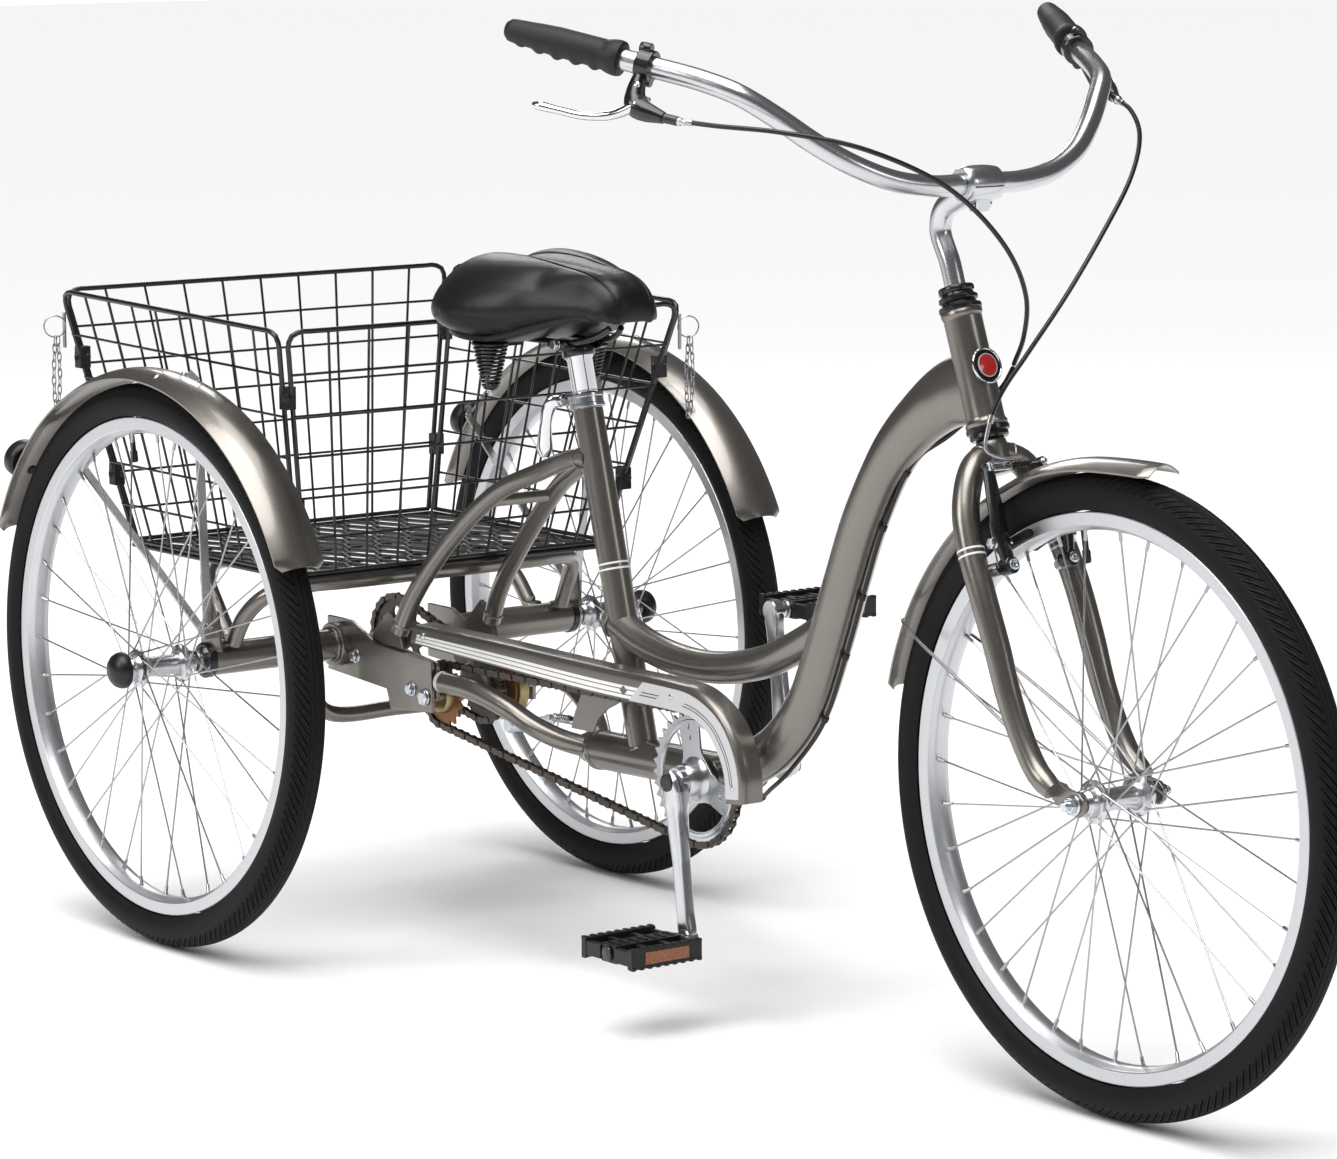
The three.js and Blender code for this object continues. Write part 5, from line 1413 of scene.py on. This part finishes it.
def chain_guard():
    """A long pressed channel: a rolled crest over the chain, a flat outer face and an arched front."""
    crest = curve2d([(139, 364), (300, 364), (490, 362), (630, 362), (664, 360), (692, 351), (722, 332),
                     (742, 304), (752, 272), (752, 246)], 5)
    belly = curve2d([(131, 341), (300, 336), (486, 330.5), (630, 330.5), (660, 328.5), (686, 319),
                     (705, 301), (717, 282), (722, 262), (722, 243)], 5)
    share = np.linspace(0, 1, GUARD_STEPS)

    def resample(line):
        """The same line as GUARD_STEPS evenly spaced points."""
        line = np.array(line)
        length = np.concatenate([[0], np.cumsum(np.linalg.norm(np.diff(line, axis=0), axis=1))])
        return np.stack([np.interp(share * length[-1], length, line[:, k]) for k in range(2)], 1)

    top, low = resample(crest), resample(belly)
    across = [(-36.0, 0.0), (-50, 0), (-58, 0.01), (-61.6, 0.05), (-63.4, 0.11), (-64, 0.2), (-64, 0.5),
              (-64, 0.8), (-63.8, 0.93), (-63, 0.985), (-61.6, 1.0), (-60.8, 0.985), (-61.8, 0.93),
              (-62.4, 0.8), (-62.4, 0.5), (-62.4, 0.22), (-61.6, 0.15), (-59.6, 0.09), (-57, 0.06),
              (-50, 0.055), (-36, 0.055)]
    rings = []
    for i in range(GUARD_STEPS):
        places = [(top[i] * (1 - t) + low[i] * t, y) for y, t in across]
        rings.append(np.array([at(place[0], y, place[1]) for place, y in places]))
    piece("chain_guard_shell", skin(rings), GUARD_PAINT, "frame", "chain_guard")

    def strip(first, last, low_share, high_share, lift=0.35):
        """A thin raised band on the outer face, between two shares of its height."""
        out = []
        for i in range(first, last + 1):
            a = top[i] * (1 - low_share) + low[i] * low_share
            b = top[i] * (1 - high_share) + low[i] * high_share
            out.append(np.array([at(a[0], GUARD_FACE - lift, a[1]), at(b[0], GUARD_FACE - lift, b[1]),
                                 at(b[0], GUARD_FACE + 0.1, b[1]), at(a[0], GUARD_FACE + 0.1, a[1])]))
        return skin(out)

    rear = [strip(2, 84, a, b) for a, b in ((0.46, 0.57), (0.61, 0.75), (0.79, 0.90))]
    piece("chain_guard_stripes", rear, WHITE, "frame")
    panel = strip(84, 128, 0.21, 0.955)
    piece("chain_guard_panel", panel, SILVER, "frame")
    lines = [strip(i, j, a, b, 0.5) for i, j in ((86, 92), (101, 125)) for a,
             b in ((0.55, 0.59), (0.66, 0.70))]
    piece("chain_guard_lines", lines, LINE_GREY, "frame")
    mark_at = top[80] * 0.37 + low[80] * 0.63
    mark = [(mark_at[0] + 6.5 * math.cos(a), mark_at[1] + 5.2 * math.sin(a)) for a in
            np.linspace(0, 2 * math.pi, 4, endpoint=False)]
    piece("chain_guard_mark", prism(mark, GUARD_FACE - 0.9, GUARD_FACE + 0.1), LINE_GREY, "frame")
    fixings = [lathe([(4.4, 0), (4.2, 1.6), (3, 2.4), (0, 2.5)], at(158, -64, 353), -SIDE, 24),
               lathe([(3.4, 0), (3.1, 1.2), (0, 1.9)], at(736, -64, 262), -SIDE, 24),
               lathe([(3.4, 0), (3.1, 1.2), (0, 1.9)], at(628, -64, 346), -SIDE, 24)]
    piece("chain_guard_screws", fixings, ZINC, "frame")
    arch = [(440, 332), (514, 332), (506, 321), (482, 310), (465, 297), (455, 280), (414, 279), (421, 298)]
    tabs = [prism(arch, -41, -38.8),
            bar(at(180, -36, 350), at(180, -24, 318), 14, 2, at(1, 0, 0))]
    piece("chain_guard_tabs", tabs, GUARD_PAINT, "frame")


band_brake()
chain_guard()

# ---------------------------------------------------------------- seat post, clamp and springs


def seat_mount():
    """The seat post, the clamp round the frame and its quick-release lever."""
    post = lathe([(0, -74), (15.4, -74), (16.8, -73), (17, -66), (16.4, -60), (14.3, -56), (14.3, 118),
                  (13.4, 120), (11.6, 120), (11.6, 100), (0, 100)], SEAT_TOP, SEAT_DOWN, 56)
    piece("seat_post_tube", post, CHROME, "post", "seat_post")
    rings = [lathe([(14.4, -h - 0.5), (14.5, -h - 0.5), (14.5, -h + 0.5), (14.4, -h + 0.5)], SEAT_TOP,
                   SEAT_DOWN, 40, loop=True) for h in (8, 12, 16, 20)]
    piece("seat_post_marks", rings, STEEL, "post")
    cap = lathe([(17.2, -75), (18.6, -73), (18.6, -62), (17.6, -60), (15, -59), (14.4, -59)], SEAT_TOP,
                SEAT_DOWN, 40)
    piece("seat_post_head", cap, BLACK, "post")
    clamp = lathe([(14.7, -1), (15, -1.2), (19.4, -1.2), (20.2, -2), (20.2, -5), (19.4, -6), (19.4, -12.4),
                   (20.2, -13.4), (20.2, -16), (19.4, -17), (14.7, -17)], SEAT_TOP, SEAT_DOWN, 64,
                  loop=True)
    lips = [brick(at(352, s * 4.4 - 1.4, 634.6), at(377, s * 4.4 + 1.4, 647.6)) for s in (-1, 1)]
    piece("seat_clamp_ring", clamp, ALLOY, "frame", "seat_clamp")
    piece("seat_clamp_lips", lips, ALLOY, "frame", bevel=0.8)
    skewer = [rod(at(362, -14, 641), at(362, 12, 641), 2.6, 18), hexagon(at(362, 5.9, 641), SIDE, 9, 4)]
    piece("seat_clamp_bolt", skewer, ZINC, "frame", bevel=0.3)
    line = smooth([at(362, -12, 641), at(356, -19, 640), at(348, -22, 628), at(343, -22, 604),
                   at(340, -21, 576)], 3)
    blade = sweep(line, varied(line, [0, 0.2, 0.5, 0.9, 1], [4.2, 4.2, 3.8, 5.2, 3.4]), 24,
                  wide=1.9, hint=SIDE)
    cam = lathe([(0, -6), (5.8, -6), (6.6, -5), (6.6, 5), (5.8, 6), (0, 6)], at(362, -13, 641),
                at(1, 0, 0.1), 28)
    piece("seat_lever_blade", [blade, cam], CHROME, "clamp_lever", "seat_lever")


def saddle_springs():
    """The two conical springs behind, with their cups and nuts."""
    for name, s in SIDES:
        low, high = at(306, s * 70, 655), at(306, s * 70, 706.7)
        spring = coil(low + SKY * 2, high - SKY * 2, (8.0, 20), 1.7, 13, 10)
        ends = [lathe([(0, 0), (7.5, 0), (8.6, 1), (8.6, 3), (6, 4.4), (2.4, 5), (2.4, 8), (0, 8)],
                      low - SKY * 2, SKY, 28), lathe([(0, -1), (21, -1), (21.4, 0), (20, 1.4), (0, 1.4)],
                                                     high - SKY * 2.6, SKY, 36)]
        piece(f"saddle_spring_{name}", [spring, *ends], BLACK, "seat",
              f"seat_spring_{name}")
        nut = [hexagon(low - SKY * 6.4, SKY, 9, 4.4), rod(low - SKY * 9, low - SKY * 2, 2.6, 16)]
        piece(f"saddle_spring_nut_{name}", nut, ZINC, "seat", bevel=0.3)


# ---------------------------------------------------------------- saddle
# x, half width, lower edge, crown at the middle line
SADDLE = [(213, 46, 732, 757), (217, 74, 722, 771), (232, 101, 713, 787), (268, 119, 709, 797),
          (310, 118, 708, 799), (352, 104, 711, 797), (392, 80, 718, 793), (430, 61, 724, 790),
          (458, 49, 722, 784), (474, 41, 718, 776), (483, 33, 719, 765), (487, 24, 724, 755)]
# x and distance from the middle line of the sewn seams
SEAM = [(214, 5), (240, 12), (275, 20), (315, 26), (355, 27), (395, 25), (430, 25), (458, 25), (474, 24),
        (481, 22)]
CLOTH_STEPS = 20
CLOTH_PRESSURE = 4
# metres
SADDLE_VOXEL = 0.005
SADDLE_CAP = 0.003
SEAM_DEPTH = 0.0016
SECTION_STEPS = 56
# the widest line's share of the height, the lobes' rise, and the middle channel's depths
EDGE_SHARE = 0.36
LOBE_RISE = 6.5
REAR_CHANNEL = 9
NOSE_CHANNEL = 3


def saddle_section(x, half, low, high):
    """One cross-section: two lobes behind, a crowned nose with a hollow underside in front."""
    ring = []
    depth = high - low
    rear = float(np.clip((385 - x) / 110, 0, 1))
    hollow = float(np.interp(x, [300, 350, 430, 470, 486], [0.04, 0.16, 0.5, 0.5, 0.3]))
    for i in range(SECTION_STEPS):
        turn = i / SECTION_STEPS * 2 * math.pi
        y, z = math.sin(turn), math.cos(turn)
        wide = math.copysign(abs(y) ** 0.62, y) * half
        share = abs(wide) / half
        if z >= 0:
            tall = low + depth * (EDGE_SHARE + (1 - EDGE_SHARE) * (1 - share ** 2.6) ** 0.62)
            tall += rear * (LOBE_RISE * math.exp(-((share - 0.5) / 0.3) ** 2)
                            - REAR_CHANNEL * math.exp(-(wide / 17) ** 2))
            tall -= (1 - rear) * NOSE_CHANNEL * math.exp(-(wide / 12) ** 2)
        else:
            bottom = (1 - share ** 2) ** 0.8
            tall = low + depth * (EDGE_SHARE * (1 - (1 - share ** 4.5) ** 0.55)
                                  + hollow * bottom * float(share < 1))
        ring.append(at(x, wide, tall))
    return np.array(ring)


def bake(obj):
    """Puts a piece's modifiers into its mesh."""
    view = bpy.context.evaluated_depsgraph_get()
    mesh = bpy.data.meshes.new_from_object(obj.evaluated_get(view))
    obj.modifiers.clear()
    obj.data = mesh


def coordinates(mesh):
    """A mesh's vertex places, one row each."""
    spots = np.empty(len(mesh.vertices) * 3)
    mesh.vertices.foreach_get("co", spots)
    return spots.reshape(-1, 3)


def inflate(obj, pressure, cap):
    """Blows the cover up a little as cloth, with the movement of every point capped."""
    scene = bpy.context.scene
    before = coordinates(obj.data)
    cloth = obj.modifiers.new("cover", "CLOTH")
    cloth.settings.quality = 6
    cloth.settings.mass = 0.3
    cloth.settings.tension_stiffness = 20
    cloth.settings.compression_stiffness = 20
    cloth.settings.bending_stiffness = 2
    cloth.settings.use_pressure = True
    cloth.settings.uniform_pressure_force = pressure
    cloth.settings.effector_weights.gravity = 0
    cloth.point_cache.frame_start = 1
    cloth.point_cache.frame_end = CLOTH_STEPS
    for step in range(1, CLOTH_STEPS + 1):
        scene.frame_set(step)
    bake(obj)
    scene.frame_set(1)
    moves = coordinates(obj.data) - before
    far = np.linalg.norm(moves, axis=1)
    moves *= (np.minimum(far, cap) / np.maximum(far, 1e-9))[:, None]
    obj.data.vertices.foreach_set("co", (before + moves).ravel())
    obj.data.update()


def saddle():
    """The padded cover, its sewn seams, the plastic pan below and the clamp on the post."""
    table = np.array(SADDLE, float)
    xs = np.concatenate([np.linspace(213, 240, 8), np.linspace(248, 470, 26), np.linspace(474, 487, 4)])
    smooth_table = [smooth([at(row[0], row[k], 0) for row in table], 2) for k in (1, 2, 3)]
    rings = []
    for x in xs:
        half, low, high = [float(np.interp(x, line[:, 0], line[:, 1])) for line in smooth_table]
        rings.append(saddle_section(x, half, low, high))
    cover = piece("saddle_cover", skin(rings), VINYL, "seat", "saddle", angle=180)
    remesh = cover.modifiers.new("even", "REMESH")
    remesh.mode = "VOXEL"
    remesh.voxel_size = SADDLE_VOXEL
    bake(cover)
    inflate(cover, CLOTH_PRESSURE, SADDLE_CAP)
    relax = cover.modifiers.new("relax", "SMOOTH")
    relax.factor = 0.5
    relax.iterations = 12
    fine = cover.modifiers.new("surface", "SUBSURF")
    fine.levels = fine.render_levels = 1
    bake(cover)
    cover.data.shade_smooth()

    spots = coordinates(cover.data)
    drawn = spots * 1000 - ORIGIN
    lines = []
    top = drawn[:, 2] > np.interp(drawn[:, 0], table[:, 0], table[:, 2] + 14)
    for s in (-1, 1):
        flat = smooth([at(x, s * y, 0) for x, y in SEAM], 2)
        flat_y = np.interp(drawn[:, 0], flat[:, 0], flat[:, 1])
        away = np.abs(drawn[:, 1] - flat_y)
        spots[:, 2] -= np.where(top, SEAM_DEPTH * np.exp(-(away / 3.4) ** 2), 0)
        lines.append(flat)
    cover.data.vertices.foreach_set("co", spots.ravel())
    cover.data.update()
    tree = BVHTree.FromPolygons([tuple(v) for v in spots], [tuple(p.vertices) for p in cover.data.polygons])
    seams = []
    for flat in lines:
        path = []
        for point in flat:
            start = (point + at(0, 0, 900) + ORIGIN) / 1000
            hit = tree.ray_cast(Vector(start), Vector((0, 0, -1)))[0]
            if hit:
                path.append(np.array(hit) * 1000 - ORIGIN + SKY * 0.3)
        seams.append(sweep(path, 1.15, 12))
    piece("saddle_piping", seams, VINYL, "seat")

    pan = []
    for x in np.linspace(226, 448, 20):
        half, low, high = [float(np.interp(x, line[:, 0], line[:, 1])) for line in smooth_table]
        lift = float(np.interp(x, [226, 320, 400, 448], [0, 0, 12, 16]))
        pan.append(np.array(rounded(at(x, 0, low + 3 + lift), SIDE, SKY, half * 0.74, 6, count=8)))
    piece("saddle_pan", skin(pan), PLASTIC, "seat")
    rails = []
    for s in (-1, 1):
        rails.append(tube([at(262, s * 34, 714), at(300, s * 30, 709), at(345, s * 23, 707.6),
                           at(395, s * 21, 709), at(430, s * 14, 718), at(446, s * 8, 728)], 3.5, 16, 5))
        rails.append(bar(at(306, s * 78, 711), at(306, s * 26, 711), 22, 3, at(1, 0, 0)))
    piece("saddle_rails", rails, BLACK, "seat")
    seat_head = SEAT_TOP - SEAT_DOWN * 72
    jaws = [prism([(seat_head[0] - 21, 702.6), (seat_head[0] - 17, 710), (seat_head[0] + 17, 710),
                   (seat_head[0] + 21, 702.6), (seat_head[0] + 10, 699), (seat_head[0] - 10, 699)],
                  s * 22.5 - 5.5, s * 22.5 + 5.5) for s in (-1, 1)]
    piece("saddle_clamp_jaws", jaws, BLACK, "post", bevel=1.2)
    through = [rod(at(seat_head[0], -31, 706), at(seat_head[0], 31, 706), 3.6, 20),
               *[nut_stack(at(seat_head[0], s * 28, 706), s, 6.5, 11.5, 5.4) for s in (-1, 1)]]
    piece("saddle_clamp_bolt", through, ZINC, "post", bevel=0.3)


seat_mount()
saddle_springs()
saddle()

# ---------------------------------------------------------------- basket
BASKET_LOW = [(-225, -215), (135, -215), (135, 215), (-225, 215)]
BASKET_HIGH = [(-274, -281), (204, -281), (204, 281), (-274, 281)]
BASKET_FLOOR = 430.5
# how high the wall reaches at each corner
BASKET_RIM = [734, 721, 721, 734]
GRID = 47
BASKET_WIRE_R = 1.55
# the small chains' links, the rings that they hang from, and the pins' place within the corners
LINK_PITCH = 9.5
RING_R = 12.5
PIN_INSET = 0.986


def wall_points(i):
    """A function from (along, up), each 0 to 1, to a place on the basket's wall i."""
    j = (i + 1) % 4
    a0, b0 = at(*BASKET_LOW[i], BASKET_FLOOR), at(*BASKET_LOW[j], BASKET_FLOOR)
    a1, b1 = at(*BASKET_HIGH[i], BASKET_RIM[i]), at(*BASKET_HIGH[j], BASKET_RIM[j])

    def place(u, v):
        left, right = a0 + (a1 - a0) * v, b0 + (b1 - b0) * v
        return left + (right - left) * (0.014 + u * 0.972)

    return place


def basket_wall(i):
    """One wall: a bent frame wire and a grid of thinner wires."""
    place = wall_points(i)
    width = np.linalg.norm(place(1, 0.5) - place(0, 0.5))
    height = np.linalg.norm(place(0.5, 1) - place(0.5, 0))
    columns, rows = round(width / GRID), round(height / GRID)
    r = 16 / width
    rv = 16 / height
    edge = [place(0, 0.02), place(0, 0.5), place(0, 1 - rv * 1.6), place(0, 1 - rv),
            place(r * 0.3, 1 - rv * 0.3), place(r, 1), place(r * 1.6, 1), place(0.5, 1),
            place(1 - r * 1.6, 1), place(1 - r, 1), place(1 - r * 0.3, 1 - rv * 0.3), place(1, 1 - rv),
            place(1, 1 - rv * 1.6), place(1, 0.5), place(1, 0.02)]
    wires = [sweep(smooth(edge, 8), 3.0, 12), sweep([place(0, 0.02), place(1, 0.02)], 2.7, 12)]
    out = unit(np.cross(place(1, 0) - place(0, 0), place(0, 1) - place(0, 0)))
    for k in range(1, columns):
        u = k / columns
        wires.append(sweep([place(u, 0.0), place(u, 0.5), place(u, 1.0)], BASKET_WIRE_R, 8))
    for k in range(1, rows):
        v = k / rows
        wires.append(sweep([place(0, v) + out * 2.6, place(0.5, v) + out * 2.6, place(1, v) + out * 2.6],
                           BASKET_WIRE_R, 8))
    return joined(*wires)


def basket_floor():
    """Expanded metal: rows of zigzag strands that meet at their corners, inside a wire frame."""
    (x0, y0), (x1, y1) = BASKET_LOW[0], BASKET_LOW[2]
    rows, step = 11, 21.5
    half = (x1 - x0) / rows / 2
    count = int((y1 - y0) / step)
    strands = []
    for row in range(rows):
        middle = x0 + half * (2 * row + 1)
        path = []
        for j in range(count + 1):
            turn = half * 0.9 if (j + row) % 2 else -half * 0.9
            y = y0 + j * step
            path.append(at(middle + turn, y - step * 0.22, BASKET_FLOOR))
            path.append(at(middle + turn, y + step * 0.22, BASKET_FLOOR))
        strands.append(sweep([p for p in path if y0 <= p[1] <= y1], 2.4, 6, wide=1.6, hint=SKY))
    corners = [at(x, y, BASKET_FLOOR) for x, y in BASKET_LOW]
    for i in range(4):
        strands.append(sweep([corners[i], corners[(i + 1) % 4]], 3.2, 12))
    for x in (-140, -45, 50):
        strands.append(sweep([at(x, y0, BASKET_FLOOR - 1), at(x, y1, BASKET_FLOOR - 1)], 2.2, 10))
    return joined(*strands)


def small_chain(start, length):
    """A fine steel chain that hangs as a loop from a ring and back up."""
    links = []
    count = int(length / LINK_PITCH)
    for strand, lean in ((0, -5), (1, 6)):
        for k in range(count):
            top = start + at(lean * math.sin(math.pi * k / count) * 0.9, strand * 4 * (1 - k / count),
                             -k * LINK_PITCH)
            turn = (SIDE if (k + strand) % 2 else at(1, 0, 0))
            loop = [top + turn * 2.4 * math.sin(a) - SKY * (5.4 - 6.4 * math.cos(a))
                    for a in np.linspace(0, 2 * math.pi, 14, endpoint=False)]
            links.append(sweep(loop, 0.75, 6, loop=True))
    return joined(*links)


def basket():
    """The wire basket with its corner clips, and the pins and chains that hold its ends."""
    walls = [basket_wall(i) for i in range(4)]
    piece("basket_wire_walls", walls, WIRE, "frame", "basket")
    piece("basket_floor_mesh", basket_floor(), WIRE, "frame")
    clips = []
    for i in range(4):
        for v in (0.28, 0.74):
            corner = (wall_points(i)(0, v) + wall_points((i + 3) % 4)(1, v)) / 2
            out = unit(corner * at(1, 1, 0) - at(-35, 0, 0))
            clips.append(brick(corner - at(7, 7, 13), corner + at(7, 7, 13)))
            clips.append(lathe([(0, -9), (4.6, -9), (5.6, -8), (5.6, 9), (0, 10)], corner, out, 20))
    piece("basket_corner_clips", clips, PLASTIC, "frame", bevel=1.2)
    metal = []
    for (x, y), s in ((BASKET_HIGH[2], 1), (BASKET_HIGH[0], -1)):
        pin = at(x * PIN_INSET, y * PIN_INSET, 700)
        ring_at = pin + at(0, s * 13, -8)
        ring = [ring_at + at(0.3, 1, 0) * RING_R * math.cos(a) + SKY * RING_R * math.sin(a)
                for a in np.linspace(0, 2 * math.pi, 36, endpoint=False)]
        metal.append(sweep(ring, 0.9, 8, loop=True))
        metal.append(rod(pin + SKY * 8, pin - SKY * 34, 2.2, 14, 0.4))
        metal.append(small_chain(ring_at - SKY * 12, 104))
    piece("basket_pins_and_chains", metal, STEEL, "frame")


basket()

# ---------------------------------------------------------------- camera, floor and light
CAMERA_AT = (4.2541, -3.3154, 1.2903)
CAMERA_BACK = (0.76800, -0.62167, 0.15419)
LENS = 135.46
SENSOR = 36
SHIFT = (-0.1083, 0.0140)
FLOOR_HALF = 26
FLOOR_Z = -0.002
AMBIENT = 0.11
BACKDROP = 1.6
# name, place, size in metres, power in watts
LIGHTS = [("key", (-0.8, -4.6, 3.0), 2.0, 85), ("fill", (5.0, 1.5, 2.6), 1.2, 18),
          ("top", (-0.6, 0.6, 5.2), 2.4, 60), ("back", (-4.5, 2.5, 3.2), 1.6, 40)]
LIGHTS_AIM = Vector((0, 0, 0.5))
SUN = 3.15
SUN_SPREAD = 50
SUN_FROM = (0.15, -0.35, 1)


def aim(obj, back):
    """Turns a camera or light so that it looks against a direction."""
    obj.rotation_euler = Vector(back).to_track_quat("Z", "Y").to_euler()


def studio():
    """The photograph's camera, a seamless pale floor and large soft lights."""
    scene = bpy.context.scene
    data = bpy.data.cameras.new("camera")
    scene.camera = placed("camera", data)
    scene.camera.location = CAMERA_AT
    aim(scene.camera, CAMERA_BACK)
    data.lens = LENS
    data.sensor_width = SENSOR
    data.shift_x, data.shift_y = SHIFT
    data.clip_end = 200

    mesh = bpy.data.meshes.new("floor")
    mesh.from_pydata([(x * FLOOR_HALF, y * FLOOR_HALF, FLOOR_Z) for x,
                      y in ((-1, -1), (1, -1), (1, 1), (-1, 1))], [], [(0, 1, 2, 3)])
    placed("floor", mesh)
    paper = bpy.data.materials.new("studio_paper")
    paper.use_nodes = True
    set_inputs(paper.node_tree.nodes["Principled BSDF"], Base_Color=(0.92, 0.92, 0.92, 1), Roughness=0.9)
    mesh.materials.append(paper)

    world = bpy.data.worlds.new("studio")
    world.use_nodes = True
    nodes, wires = world.node_tree.nodes, world.node_tree.links
    light_path = nodes.new("ShaderNodeLightPath")
    strength = set_inputs(nodes.new("ShaderNodeMapRange"), To_Min=AMBIENT, To_Max=BACKDROP)
    wires.new(light_path.outputs["Is Camera Ray"], strength.inputs["Value"])
    background = set_inputs(nodes["Background"], Color=(1, 1, 1, 1))
    wires.new(strength.outputs["Result"], background.inputs["Strength"])
    scene.world = world
    scene.view_settings.view_transform = "Standard"
    sun = bpy.data.lights.new("overhead", "SUN")
    sun.energy = SUN
    sun.angle = math.radians(SUN_SPREAD)
    aim(placed("overhead", sun), SUN_FROM)
    for name, place, size, power in LIGHTS:
        soft = bpy.data.lights.new(name, "AREA")
        soft.size = size
        soft.energy = power
        light = placed(name, soft)
        light.location = place
        aim(light, Vector(place) - LIGHTS_AIM)


studio()
